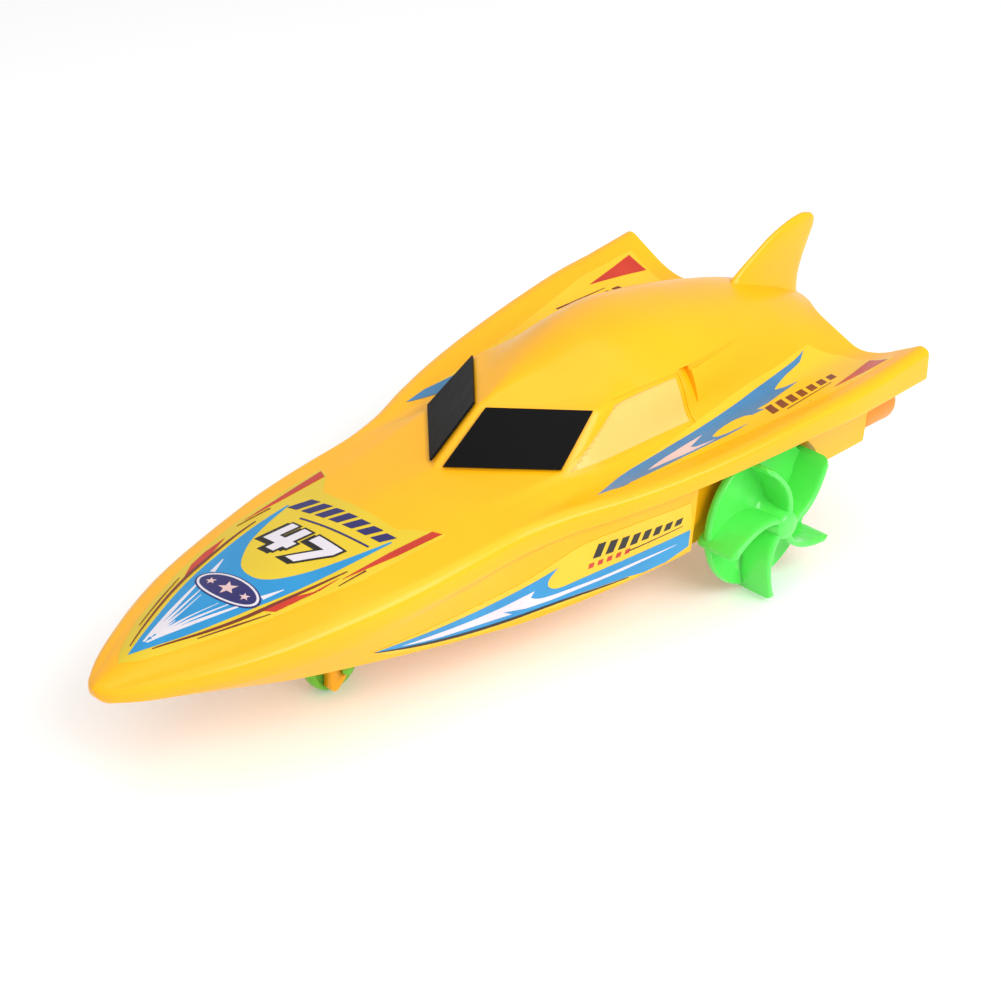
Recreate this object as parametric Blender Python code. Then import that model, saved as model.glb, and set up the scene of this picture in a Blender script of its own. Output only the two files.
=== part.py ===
"""Toy speedboat with paddle wheels, built as an assembly of moulded and fitted pieces.

Axes: +X to the bow, +Y to port, +Z up, origin under the middle of the boat on the floor.
Stations are millimetres ahead of the stern corners.  Heights in the hull tables are
millimetres above the top of the stern corners, which stand RIM_HEIGHT above the floor.
"""
import math

import bmesh
import bpy
from mathutils import Matrix, Vector

# ---------------------------------------------------------------- driving dimensions (mm)
MM = 0.001
MODEL_NAME = "toy_speedboat"
RIM_HEIGHT = 48.8            # top of the stern corners above the floor
MID_STATION = 93.5           # station that sits over the origin
WALL = 1.6                   # moulded wall thickness
GAP = 0.3                    # clearance between neighbouring pieces

TAIL_STATION = -9.5          # tip of the tail of the cabin
TAIL_START = 14.3            # where the tail begins to run past the transom
BOW_STATION = 201.7
SCREEN_BASE = 110.8          # centre line station of the windscreen's lower edge
SCREEN_TOP = 97.0            # centre line station of the windscreen's upper edge

AXLE_STATION = 43.2
AXLE_HEIGHT = -30.5
AXLE_RADIUS = 1.5
PADDLE_DISC_RADIUS = 17.4
PADDLE_INNER_Y = 32.7
PADDLE_OUTER_Y = 44.0
PADDLE_DISC_Y = (34.0, 35.8)
BLADE_COUNT = 5
BLADE_RADIUS = 18.2
BLADE_THICKNESS = 1.5
BLADE_TIP_ANGLE = -5.0      # degrees from ahead, towards up
BLADE_BEND = 46.0            # degrees that a blade turns between its root and tip
HUB_RADIUS = 3.4

ARCH_RADIUS = 19.2           # wheel arch around the axle
ARCH_FRONT = 66.5
ARCH_TOP = -11.2
ARCH_INNER_Y = 31.2
TUB_HALF_WIDTH = 29.1        # hull side wall beside the paddle wheels

BOW_WHEEL_STATION = 140.9
BOW_WHEEL_RADIUS = 7.0
BOW_WHEEL_HALF_WIDTH = 2.0
BOW_WHEEL_EDGE = 0.8         # bevel of the roller's edges
BOW_PIN_RADIUS = 0.9
BOW_PIN_HEAD = (5.15, 6.6, 1.4)  # both ends: from, to, radius
FORK_SLOT_HALF = 2.3
FORK_HALF_WIDTH = 4.9
FORK_SLOT_TOP = -34.4
FORK_REAR = -9.4             # ahead of the roller's axis, like the next three
FORK_NOTCH = (-7.5, -3.4)
FORK_TIP = (2.6, -3.5)       # centre of the leg's rounded tip, ahead and above
FORK_TIP_RADIUS = 1.4
FORK_BOSS_RADIUS = 2.1
FORK_PLATE = 1.3
FORK_BLOCK_HALF = 2.4        # the block behind the roller, half width
LEG_TURN = 226               # degrees, where the leg's rear edge leaves the boss for the tip

GEAR_MODULE = 0.7
GEAR_TEETH = 20
PINION_TEETH = 10
GEAR_Y = 8.4
GEAR_WIDTH = 4.0
MOTOR_SHAFT_RADIUS = 1.0
MOTOR_DX = 4.5               # motor shaft ahead of the axle
MOTOR_RADIUS = 10.0

SCREW_RADIUS = 1.05
SCREW_PLACES = ((27.0, 20.0), (122.0, 12.5))
BOSS_RADIUS = 3.2
BOSS_SPLIT = -29.0           # height where hull bosses meet deck posts

POD_RADIUS = 5.6
POD_HALF_BREADTH = 33.6
POD_HEIGHT = -16.8
POD_END = -1.2

BATTERY_RADIUS = 7.25
BATTERY_START = 61.0
BATTERY_LENGTH = 50.0
BATTERY_HEIGHT = -27.6
HATCH = (63.0, 106.0, 9.5)   # start, end, half width

# ---------------------------------------------------------------- colours (sRGB)
YELLOW = (0.99, 0.80, 0.13)
PADDLE_GREEN = (0.16, 0.86, 0.24)
BOW_GREEN = (0.40, 0.74, 0.22)
ORANGE = (0.98, 0.52, 0.14)
BLACK = (0.02, 0.02, 0.02)
STEEL = (0.72, 0.73, 0.75)
NYLON = (0.93, 0.93, 0.90)
DECAL_BLUE = (0.14, 0.56, 0.82)
DECAL_YELLOW = (0.90, 0.82, 0.16)
BATTERY_GREY = (0.25, 0.28, 0.33)
RED = (0.80, 0.10, 0.06)

# ---------------------------------------------------------------- lines of the boat
# Each line runs from the tail to the bow as (station, half breadth) and (station, height).
# "cabin" and "tail" say how much of the cabin's sweep and of the tail's overhang it takes.
LINES = (
    {"name": "chine", "cabin": 0.0, "tail": 2.05,
     "y": ((-9.5, 38.0), (30, 37.6), (58, 36.6), (68, 35.6), (84, 33.2), (107, 28.3), (126, 25.3),
           (143, 23.0), (163, 18.9), (179, 13.2), (190, 8.4), (201.7, 1.6)),
     "z": ((-9.5, -23.5), (34, -24.2), (52, -26.0), (66, -30.6), (84, -32.3), (107, -33.8),
           (126, -32.2), (143, -29.8), (163, -27.4), (186, -25.0), (201.7, -24.2))},
    {"name": "side_top", "cabin": 0.0, "tail": 2.05,
     "y": ((-9.5, 39.6), (30, 39.4), (58, 38.2), (70, 37.2), (84, 34.9), (100, 30.1), (112, 27.8),
           (126, 27.0), (150, 24.6), (170, 19.6), (186, 12.4), (195, 7.6), (201.7, 2.1)),
     "z": ((-9.5, -8.2), (30, -9.4), (58, -11.2), (87, -14.2), (110, -17.2), (126, -19.0),
           (150, -21.3), (186, -23.6), (201.7, -23.7))},
    {"name": "rim_bottom", "cabin": 0.0, "tail": 1.0,
     "y": ((-9.5, 47.2), (20, 47.2), (40, 45.5), (58, 43.1), (74, 39.8), (87, 36.0), (100, 31.4),
           (112, 29.0), (126, 28.2), (136, 27.4), (148, 25.5), (161, 22.8), (170, 20.3),
           (179, 16.8), (187, 12.8), (195, 8.0), (201.7, 2.4)),
     "z": ((-9.5, -8.0), (30, -9.2), (58, -11.0), (87, -13.8), (110, -15.8), (126, -17.0),
           (150, -19.0), (186, -21.9), (201.7, -23.0))},
    {"name": "rim_top", "cabin": 0.0, "tail": 1.0,
     "y": ((-9.5, 47.3), (20, 47.3), (40, 45.6), (58, 43.2), (74, 39.9), (87, 36.1), (100, 31.4),
           (112, 29.0), (126, 28.2), (136, 27.4), (148, 25.5), (161, 22.7), (170, 20.2),
           (179, 16.6), (187, 12.6), (195, 7.9), (201.7, 2.3)),
     "z": ((-9.5, -0.7), (30, -3.8), (58, -6.8), (87, -9.7), (110, -11.9), (126, -13.3),
           (150, -15.9), (186, -19.7), (201.7, -22.0))},
    {"name": "rim_inner", "cabin": 0.0, "tail": 1.0,
     "y": ((-9.5, 45.0), (20, 44.8), (40, 43.1), (58, 40.7), (74, 37.5), (87, 33.8), (100, 29.5),
           (112, 27.4), (126, 26.6), (136, 25.8), (148, 23.9), (161, 21.1), (170, 18.5),
           (179, 15.0), (187, 11.2), (195, 6.8), (201.7, 1.8)),
     "z": ((-9.5, 0.0), (30, -3.2), (58, -6.2), (87, -8.9), (110, -10.4), (126, -11.7),
           (150, -14.4), (186, -18.7), (201.7, -21.5))},
    {"name": "deck_edge", "cabin": 0.4, "tail": 1.0,
     "y": ((-9.5, 34.0), (14.3, 35.0), (30, 35.4), (55, 34.4), (68, 32.8), (82, 30.2), (97, 27.0),
           (111, 24.8), (125, 23.4), (150, 20.3), (170, 15.2), (185, 9.8), (201.7, 1.3)),
     "z": ((-9.5, -6.0), (14.3, -6.2), (30, -6.8), (55, -8.2), (68, -9.0), (82, -9.6), (97, -9.8),
           (111, -9.7), (125, -10.7), (150, -13.5), (185, -18.0), (201.7, -21.2))},
    {"name": "cabin_foot", "cabin": 1.0, "tail": 1.0,
     "y": ((-9.5, 27.5), (14.3, 25.0), (30, 24.2), (55, 24.0), (82, 24.0), (97, 24.0), (111, 22.7),
           (125, 20.6), (150, 16.8), (170, 12.2), (185, 7.6), (201.7, 0.9)),
     "z": ((-9.5, -7.5), (14.3, -7.6), (30, -7.9), (55, -8.2), (82, -8.5), (97, -8.5), (111, -8.2),
           (125, -9.6), (150, -12.7), (185, -17.2), (201.7, -21.0))},
    {"name": "cabin_edge", "cabin": 1.0, "tail": 0.74,
     "y": ((-9.5, 12.4), (14.3, 15.2), (30, 17.8), (42, 19.4), (55, 20.2), (68, 20.0), (82, 19.4),
           (97, 18.9), (110.8, 21.3), (125, 17.5), (150, 12.5), (170, 8.8), (185, 5.3),
           (201.7, 0.6)),
     "z": ((-9.5, -3.4), (14.3, 0.8), (30, 2.6), (42, 3.3), (55, 3.5), (68, 3.4), (82, 3.1),
           (97, 2.6), (110.8, -6.9), (125, -8.9), (150, -12.1), (185, -16.6), (201.7, -20.9))},
    {"name": "roof_side", "cabin": 0.5, "tail": 0.2,
     "y": ((-9.5, 6.0), (14.3, 8.0), (30, 9.4), (55, 10.6), (82, 10.0), (97, 9.3), (110.8, 10.4),
           (125, 9.0), (150, 6.8), (185, 3.0), (201.7, 0.3)),
     "z": ((-9.5, -4.2), (0, 0.3), (14.3, 4.7), (30, 8.2), (42, 10.2), (55, 11.3), (68, 10.5),
           (82, 7.6), (97, 2.8), (110.8, -7.0), (125, -8.5), (150, -11.5), (185, -16.2),
           (201.7, -20.8))},
    {"name": "centre", "cabin": 0.0, "tail": 0.0,
     "y": ((-9.5, 0.0), (201.7, 0.0)),
     "z": ((-9.5, -4.0), (0, 0.6), (14.3, 5.7), (30, 9.6), (42, 12.0), (55, 13.1), (68, 12.1),
           (82, 8.5), (97, 2.9), (110.8, -7.1), (125, -8.3), (150, -11.2), (185, -16.0),
           (201.7, -20.7))},
)
DECK_STATIONS = (-9.5, -5, 0, 7, 14.3, 22, 30, 36, 42, 48, 55, 61.5, 68, 75, 82, 89.5, 97, 110.8,
                 118, 125, 133, 142, 151, 160, 169, 177, 185, 191, 196.5, 201.7)
INNER_STATIONS = (14.3, 22, 30, 36, 42, 48, 55, 61.5, 68, 75, 82, 89.5, 97, 110.8, 118, 125, 133,
                  142, 151, 160, 169, 177, 184)
# Underside of the stern's overhang where it meets the transom, rim to centre line.
UNDERSIDE_TUCK = (0.4, 1.0, 2.1, 3.5, 3.5, 3.5, 3.5, 3.5)
UNDERSIDE_DROP = (0.1, 0.3, 0.6, 1.1, 1.1, 1.1, 1.1, 1.1)
CABIN_SWEEP = ((-9.5, 0.0), (42, 0.0), (55, 4.5), (68, 11.0), (82, 15.2), (97, 17.6),
               (110.8, 19.0), (125, 11.0), (140, 3.4), (152, 0.0), (201.7, 0.0))
# Hull tub: station, top half width, top height, bilge height, flat half width, keel height.
HULL_STATIONS = (
    (14.8, 28.2, -20.5, -25.3, 9.0, -29.0),
    (25.0, 29.1, -21.5, -30.0, 12.0, -34.5),
    (43.0, 29.1, -21.5, -34.5, 13.0, -40.5),
    (68.4, 29.1, -21.5, -35.5, 13.0, -40.5),
    (70.0, 33.2, -28.2, -32.4, 13.0, -40.5),
    (84.0, 31.2, -29.3, -33.2, 13.0, -40.5),
    (107.0, 26.3, -31.0, -34.6, 12.0, -40.5),
    (126.0, 23.3, -29.0, -32.6, 9.0, -36.4),
    (143.0, 20.3, -26.4, -29.8, 7.5, -32.2),
    (163.0, 15.0, -24.0, -27.4, 5.0, -28.8),
    (183.0, 6.2, -22.5, -25.4, 2.0, -26.0),
)


# ---------------------------------------------------------------- curves through points
def slopes(points):
    """Slopes of a smooth curve that never overshoots its points."""
    steps = [(b[1] - a[1]) / (b[0] - a[0]) for a, b in zip(points, points[1:])]
    result = [steps[0]]
    for before, after in zip(steps, steps[1:]):
        same_way = before * after > 0
        result.append(2 * before * after / (before + after) if same_way else 0.0)
    result.append(steps[-1])
    return result


def smooth_value(points, at):
    """Value at a station of the smooth curve through (station, value) points."""
    at = min(max(at, points[0][0]), points[-1][0])
    slope = slopes(points)
    for index, (a, b) in enumerate(zip(points, points[1:])):
        if at <= b[0]:
            break
    span = b[0] - a[0]
    t = (at - a[0]) / span
    return (a[1] * (1 + 2 * t) * (1 - t) ** 2 + b[1] * t * t * (3 - 2 * t)
            + span * (slope[index] * t * (1 - t) ** 2 - slope[index + 1] * t * t * (1 - t)))


def between(points, low, high):
    return [p for p in points if low - 1e-6 <= p[0] <= high + 1e-6]


def line_value(points, at):
    """Like smooth_value, but with a crease at the windscreen's two edges."""
    stations = [p[0] for p in points]
    if SCREEN_BASE not in stations:
        return smooth_value(points, at)
    if at < SCREEN_TOP:
        return smooth_value(between(points, TAIL_STATION, SCREEN_TOP), at)
    if at < SCREEN_BASE:
        return smooth_value(between(points, SCREEN_TOP, SCREEN_BASE), at)
    return smooth_value(between(points, SCREEN_BASE, BOW_STATION), at)


def tail_shift(at):
    """How far the transom lags behind the tail at a station near the stern."""
    if at >= TAIL_START:
        return 0.0
    return at - TAIL_START * (at - TAIL_STATION) / (TAIL_START - TAIL_STATION)


def deck_half_section(at):
    """Points of the deck moulding at one station, port side, chine to centre line."""
    points = []
    for line in LINES:
        x = at - line["cabin"] * smooth_value(CABIN_SWEEP, at) - line["tail"] * tail_shift(at)
        points.append(Vector((x, line_value(line["y"], at), line_value(line["z"], at))))
    return points


def inset_section(points, distance):
    """The half section moved inwards by a distance, in its own plane."""
    result = []
    for index, point in enumerate(points):
        before = points[max(index - 1, 0)]
        after = points[min(index + 1, len(points) - 1)]
        into = (point - before).yz if index else (after - point).yz
        out = (after - point).yz if index < len(points) - 1 else Vector((-1.0, 0.0))
        if index == len(points) - 1:
            normal = Vector((0.0, -1.0))
        else:
            mean = into.normalized() + out.normalized()
            normal = Vector((-mean.y, mean.x)).normalized()
        turn = max(normal.dot(Vector((-out.y, out.x)).normalized()), 0.75)
        y = max(point.y + normal.x * distance / turn, 0.0)
        result.append(Vector((point.x, y, point.z + normal.y * distance / turn)))
    result[-1].y = 0.0
    return result


def mirrored_ring(half):
    """Full closed ring from a port half that ends on the centre line."""
    return half + [Vector((p.x, -p.y, p.z)) for p in reversed(half[:-1])]


def place(point):
    """Station, half breadth and height in mm to world metres."""
    return Vector(((point[0] - MID_STATION) * MM, point[1] * MM, (point[2] + RIM_HEIGHT) * MM))


# ---------------------------------------------------------------- Blender helpers
def clear_scene():
    for thing in list(bpy.data.objects):
        bpy.data.objects.remove(thing, do_unlink=True)


def new_collection(name, hidden=False):
    collection = bpy.data.collections.new(name)
    bpy.context.scene.collection.children.link(collection)
    collection.hide_render = hidden
    return collection


def srgb_to_linear(colour):
    return tuple(c / 12.92 if c <= 0.04045 else ((c + 0.055) / 1.055) ** 2.4 for c in colour)


def plain_material(name, colour, roughness=0.35, metallic=0.0):
    material = bpy.data.materials.new(name)
    material.use_nodes = True
    shader = material.node_tree.nodes["Principled BSDF"]
    shader.inputs["Base Color"].default_value = (*srgb_to_linear(colour), 1.0)
    shader.inputs["Roughness"].default_value = roughness
    shader.inputs["Metallic"].default_value = metallic
    return material


def add_object(name, mesh, collection, origin=None):
    """Link a mesh built in world metres; its origin can be moved onto a joint axis."""
    thing = bpy.data.objects.new(name, mesh)
    collection.objects.link(thing)
    if origin is not None:
        spot = place(origin)
        mesh.transform(Matrix.Translation(-spot))
        thing.location = spot
    return thing


def finish_mesh(bm, name, smooth_angle=35.0):
    bmesh.ops.recalc_face_normals(bm, faces=bm.faces)
    bmesh.ops.triangulate(bm, faces=[f for f in bm.faces if len(f.verts) > 4])
    mesh = bpy.data.meshes.new(name)
    bm.to_mesh(mesh)
    bm.free()
    mesh.shade_smooth()
    mesh.set_sharp_from_angle(angle=math.radians(smooth_angle))
    return mesh


def loft_mesh(name, rings):
    """Closed solid through rings of equal length, given in station coordinates."""
    bm = bmesh.new()
    rows = [[bm.verts.new(place(p)) for p in ring] for ring in rings]
    count = len(rows[0])
    for low, high in zip(rows, rows[1:]):
        for k in range(count):
            bm.faces.new((low[k], low[(k + 1) % count], high[(k + 1) % count], high[k]))
    bm.faces.new(rows[0])
    bm.faces.new(rows[-1])
    return finish_mesh(bm, name)


def prism_mesh(name, outline, low_y, high_y, smooth_angle=35.0):
    """Closed outline in station and height, extruded across the boat."""
    bm = bmesh.new()
    near = [bm.verts.new(place((x, low_y, z))) for x, z in outline]
    far = [bm.verts.new(place((x, high_y, z))) for x, z in outline]
    count = len(outline)
    for k in range(count):
        bm.faces.new((near[k], near[(k + 1) % count], far[(k + 1) % count], far[k]))
    bm.faces.new(near)
    bm.faces.new(far)
    return finish_mesh(bm, name, smooth_angle)


def box_mesh(name, low, high):
    bm = bmesh.new()
    centre = (place(low) + place(high)) / 2
    size = place(high) - place(low)
    bmesh.ops.create_cube(bm, size=1.0, matrix=Matrix.Translation(centre) @ Matrix.Diagonal((*size, 1)))
    return finish_mesh(bm, name)


def cylinder_mesh(name, start, end, radius, segments=32, end_radius=None):
    """Cylinder or cone between two points in station coordinates."""
    bm = bmesh.new()
    a, b = place(start), place(end)
    turn = (b - a).to_track_quat("Z", "Y").to_matrix().to_4x4()
    tip = radius if end_radius is None else end_radius
    bmesh.ops.create_cone(bm, cap_ends=True, segments=segments, radius1=radius * MM, radius2=tip * MM,
                          depth=(b - a).length, matrix=Matrix.Translation((a + b) / 2) @ turn)
    return finish_mesh(bm, name)


class Workshop:
    """Collections and materials, with the cutting and joining of pieces."""

    def __init__(self):
        self.parts = new_collection(MODEL_NAME)
        self.cutters = new_collection("cutters", hidden=True)
        self.count = 0

    def part(self, name, mesh, material, origin=None):
        thing = add_object(name, mesh, self.parts, origin)
        thing.data.materials.append(material)
        return thing

    def boolean(self, target, mesh, operation="DIFFERENCE"):
        """Cut or join a helper solid and keep the result as the target's own mesh."""
        self.count += 1
        cutter = add_object("cutter_%03d" % self.count, mesh, self.cutters)
        cutter.hide_render = True
        cutter.display_type = "WIRE"
        modifier = target.modifiers.new("boolean_%03d" % self.count, "BOOLEAN")
        modifier.operation = operation
        modifier.object = cutter
        modifier.solver = "EXACT"
        bpy.context.view_layer.update()
        shape = target.evaluated_get(bpy.context.evaluated_depsgraph_get())
        result = bpy.data.meshes.new_from_object(shape)
        target.modifiers.remove(modifier)
        target.data = result
        bpy.data.objects.remove(cutter, do_unlink=True)

    def cut(self, target, *meshes):
        for mesh in meshes:
            self.boolean(target, mesh)

    def join(self, target, *meshes):
        for mesh in meshes:
            self.boolean(target, mesh, "UNION")


# ---------------------------------------------------------------- the deck moulding
def deck_rings():
    rings = [mirrored_ring(deck_half_section(at)) for at in DECK_STATIONS]
    stern = deck_half_section(TAIL_STATION)
    under = [stern[0], stern[1]]
    for point, tuck, drop in zip(stern[2:], UNDERSIDE_TUCK, UNDERSIDE_DROP):
        under.append(Vector((stern[0].x, min(point.y, stern[1].y - tuck), stern[1].z - drop)))
    return [mirrored_ring(under)] + rings


def inner_rings():
    rings = []
    for at in INNER_STATIONS:
        half = inset_section(deck_half_section(at), WALL)
        half[0] = Vector((half[0].x, half[0].y, -52.0))
        rings.append(mirrored_ring(half))
    return rings


def arch_outline(radius, front):
    """Wheel arch: round behind the axle, square in front of it."""
    points = []
    for step in range(25):
        angle = math.radians(90 + 180 * step / 24)
        points.append((AXLE_STATION + radius * math.cos(angle), AXLE_HEIGHT + radius * math.sin(angle)))
    points.append((front, AXLE_HEIGHT - radius))
    points.append((front, AXLE_HEIGHT + radius))
    return points


def build_deck(shop, plastic):
    deck = shop.part("deck_shell", loft_mesh("deck_shell", deck_rings()), plastic)
    hollow = shop.part("hollow", loft_mesh("hollow", inner_rings()), plastic)
    for side in (1, -1):
        outline = [(x, min(z, ARCH_TOP + WALL)) for x, z in
                   arch_outline(ARCH_RADIUS + WALL, ARCH_FRONT + WALL)]
        low, high = sorted((side * (ARCH_INNER_Y - WALL), side * 60.0))
        shop.cut(hollow, prism_mesh("liner", outline, low, high))
    for station, half in SCREW_PLACES:
        for side in (1, -1):
            spot = side * half
            shop.cut(hollow, cylinder_mesh("post", (station, spot, BOSS_SPLIT), (station, spot, 30.0),
                                           BOSS_RADIUS))
    shop.cut(deck, hollow.data.copy())
    bpy.data.objects.remove(hollow, do_unlink=True)
    for side in (1, -1):
        outline = [(x, min(z, ARCH_TOP)) for x, z in arch_outline(ARCH_RADIUS, ARCH_FRONT)]
        low, high = sorted((side * ARCH_INNER_Y, side * 60.0))
        shop.cut(deck, prism_mesh("arch", outline, low, high))
    for station, half in SCREW_PLACES:
        for side in (1, -1):
            spot = side * half
            shop.cut(deck, cylinder_mesh("pilot", (station, spot, -40.0), (station, spot, -20.0),
                                         SCREW_RADIUS + GAP))
    shop.cut(deck, box_mesh("fin_slot", (-1.0, -1.0, -4.5), (8.0, 1.0, 12.0)))
    shop.cut(deck, box_mesh("switch_slot", (5.0, -4.6, -17.7), (16.0, 4.6, -14.3)))
    return deck


# ---------------------------------------------------------------- the hull tub
def hull_ring(row, inset=0.0):
    station, top, top_height, bilge, flat, keel = row
    lift = 12.0 if inset else 0.0
    half = [Vector((station, top - inset, top_height + lift)),
            Vector((station, top - inset, bilge + 0.6 * inset)),
            Vector((station, max(flat - 0.3 * inset, 0.6), keel + inset))]
    return half + [Vector((p.x, -p.y, p.z)) for p in reversed(half)]


def hull_inner_rings():
    first = list(HULL_STATIONS[0])
    first[0] += WALL
    rows = [first]
    for row in HULL_STATIONS[1:-1]:
        step = WALL if 60 < row[0] < 75 else 0.0
        rows.append([row[0] + step, *row[1:]])
    last = list(HULL_STATIONS[-1])
    last[0] -= 2 * WALL
    last[1] += 1.0
    rows.append(last)
    return [hull_ring(row, WALL) for row in rows]


def hull_floor(station, half_width):
    """Outside height of the hull's bottom at a spot inside its bilge."""
    for a, b in zip(HULL_STATIONS, HULL_STATIONS[1:]):
        if station <= b[0]:
            break
    t = (station - a[0]) / (b[0] - a[0])
    _, top, _, bilge, flat, keel = [p + t * (q - p) for p, q in zip(a, b)]
    if half_width <= flat:
        return keel
    return keel + (bilge - keel) * (half_width - flat) / (top - flat)


def build_hull(shop, plastic):
    hull = shop.part("hull_shell", loft_mesh("hull_shell", [hull_ring(r) for r in HULL_STATIONS]), plastic)
    shop.cut(hull, loft_mesh("hull_inside", hull_inner_rings()))
    for station, half in SCREW_PLACES:
        floor = hull_floor(station, half)
        for side in (1, -1):
            spot = side * half
            boss = cylinder_mesh("boss", (station, spot, floor + 0.8),
                                 (station, spot, BOSS_SPLIT - GAP), BOSS_RADIUS)
            shop.join(hull, boss)
            hole = cylinder_mesh("hole", (station, spot, -50.0), (station, spot, -20.0),
                                 SCREW_RADIUS + GAP, 24)
            pocket = cylinder_mesh("pocket", (station, spot, -50.0), (station, spot, floor + 2.2),
                                   2.6, 24)
            shop.cut(hull, hole, pocket)
    for side in (1, -1):
        shop.cut(hull, cylinder_mesh("axle_hole", (AXLE_STATION, side * 20, AXLE_HEIGHT),
                                     (AXLE_STATION, side * 34, AXLE_HEIGHT), 3.1))
    start, end, half = HATCH
    shop.cut(hull, box_mesh("hatch_hole", (start, -half, -45.0), (end, half, -37.0)))
    return hull


# ---------------------------------------------------------------- wheels and axles
def blade_outline(tip_angle):
    """One curved blade in station and height, root inside the hub."""
    steps = 8
    outer, inner = [], []
    for step in range(steps + 1):
        t = step / steps
        radius = 2.0 + (BLADE_RADIUS - 2.0) * t
        angle = math.radians(tip_angle + BLADE_BEND * (1 - t) ** 1.3)
        half = BLADE_THICKNESS / 2 / radius
        outer.append((AXLE_STATION + radius * math.cos(angle + half),
                      AXLE_HEIGHT + radius * math.sin(angle + half)))
        inner.append((AXLE_STATION + radius * math.cos(angle - half),
                      AXLE_HEIGHT + radius * math.sin(angle - half)))
    return inner + outer[::-1]


def build_paddle_wheel(shop, name, side, plastic):
    axle = (AXLE_STATION, 0.0, AXLE_HEIGHT)

    def across(start, end, radius, segments=32):
        return cylinder_mesh(name, (AXLE_STATION, side * start, AXLE_HEIGHT),
                             (AXLE_STATION, side * end, AXLE_HEIGHT), radius, segments)

    wheel = shop.part(name, across(*PADDLE_DISC_Y, PADDLE_DISC_RADIUS, 64), plastic)
    shop.join(wheel, across(PADDLE_INNER_Y, PADDLE_OUTER_Y + 0.6, HUB_RADIUS))
    for blade in range(BLADE_COUNT):
        low, high = sorted((side * PADDLE_INNER_Y, side * PADDLE_OUTER_Y))
        outline = blade_outline(BLADE_TIP_ANGLE - 360.0 * blade / BLADE_COUNT)
        shop.join(wheel, prism_mesh("blade", outline, low, high, 50.0))
    shop.cut(wheel, across(PADDLE_INNER_Y - 2, PADDLE_OUTER_Y - 0.7, AXLE_RADIUS + GAP, 24))
    spot = place(axle)
    wheel.data.transform(Matrix.Translation(-spot))
    wheel.location = spot
    return wheel


def lathe_mesh(name, hub, steps, segments):
    """Solid turned about a line across the boat, from its half profile."""
    rings = []
    for y, radius in steps:
        ring = []
        for k in range(segments):
            angle = 2 * math.pi * k / segments
            ring.append((hub[0] + radius * math.cos(angle), y, hub[2] + radius * math.sin(angle)))
        rings.append(ring)
    return loft_mesh(name, rings)


def bow_wheel_mesh(hub):
    narrow = BOW_WHEEL_RADIUS - BOW_WHEEL_EDGE
    return lathe_mesh("bow_wheel", hub, ((-BOW_WHEEL_HALF_WIDTH, narrow),
                                         (BOW_WHEEL_EDGE - BOW_WHEEL_HALF_WIDTH, BOW_WHEEL_RADIUS),
                                         (BOW_WHEEL_HALF_WIDTH - BOW_WHEEL_EDGE, BOW_WHEEL_RADIUS),
                                         (BOW_WHEEL_HALF_WIDTH, narrow)), 40)


def bow_pin_mesh(hub):
    """Pin with a wide round head outside each leg."""
    inner, outer, head = BOW_PIN_HEAD
    half = [(inner, BOW_PIN_RADIUS), (inner, head), (outer - 0.5, head), (outer, head - 0.5)]
    steps = [(-y, radius) for y, radius in reversed(half)] + half
    return lathe_mesh("bow_wheel_pin", hub, steps, 20)


def build_bow_wheel(shop, plastic):
    hub = (BOW_WHEEL_STATION, 0.0, BOW_WHEEL_RADIUS - RIM_HEIGHT)

    def across(half, radius, segments=40):
        return cylinder_mesh("bow_wheel", (hub[0], -half, hub[2]), (hub[0], half, hub[2]), radius, segments)

    wheel = shop.part("bow_wheel", bow_wheel_mesh(hub), plastic)
    shop.cut(wheel, across(BOW_WHEEL_HALF_WIDTH + 2, BOW_PIN_RADIUS + GAP, 20))
    spot = place(hub)
    wheel.data.transform(Matrix.Translation(-spot))
    wheel.location = spot
    return wheel


def fork_outline():
    """Side view: raked leg around the pin, a notch that bares the roller, and a block behind it."""
    height = BOW_WHEEL_RADIUS - RIM_HEIGHT
    front = FORK_TIP[0] + FORK_TIP_RADIUS

    def under_hull(ahead, below):
        station = BOW_WHEEL_STATION + ahead
        return station, hull_floor(station, 0.0) - GAP - below

    def arc(centre, radius, start, end, steps=4):
        for step in range(steps + 1):
            angle = math.radians(start + (end - start) * step / steps)
            yield (BOW_WHEEL_STATION + centre[0] + radius * math.cos(angle),
                   height + centre[1] + radius * math.sin(angle))

    points = [under_hull(front, 0.0), under_hull(FORK_REAR, 0.0)]
    points.append((BOW_WHEEL_STATION + FORK_REAR, height - 1.0))
    points.append((BOW_WHEEL_STATION + FORK_NOTCH[0] - 0.9, height - 3.6))
    points.append((BOW_WHEEL_STATION + FORK_NOTCH[0], height - 4.2))
    points += [under_hull(FORK_NOTCH[0], FORK_PLATE), under_hull(FORK_NOTCH[1], FORK_PLATE)]
    points += arc((0.0, 0.0), FORK_BOSS_RADIUS, 195, LEG_TURN)
    points += arc(FORK_TIP, FORK_TIP_RADIUS, LEG_TURN, 360, 6)
    return points


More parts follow.
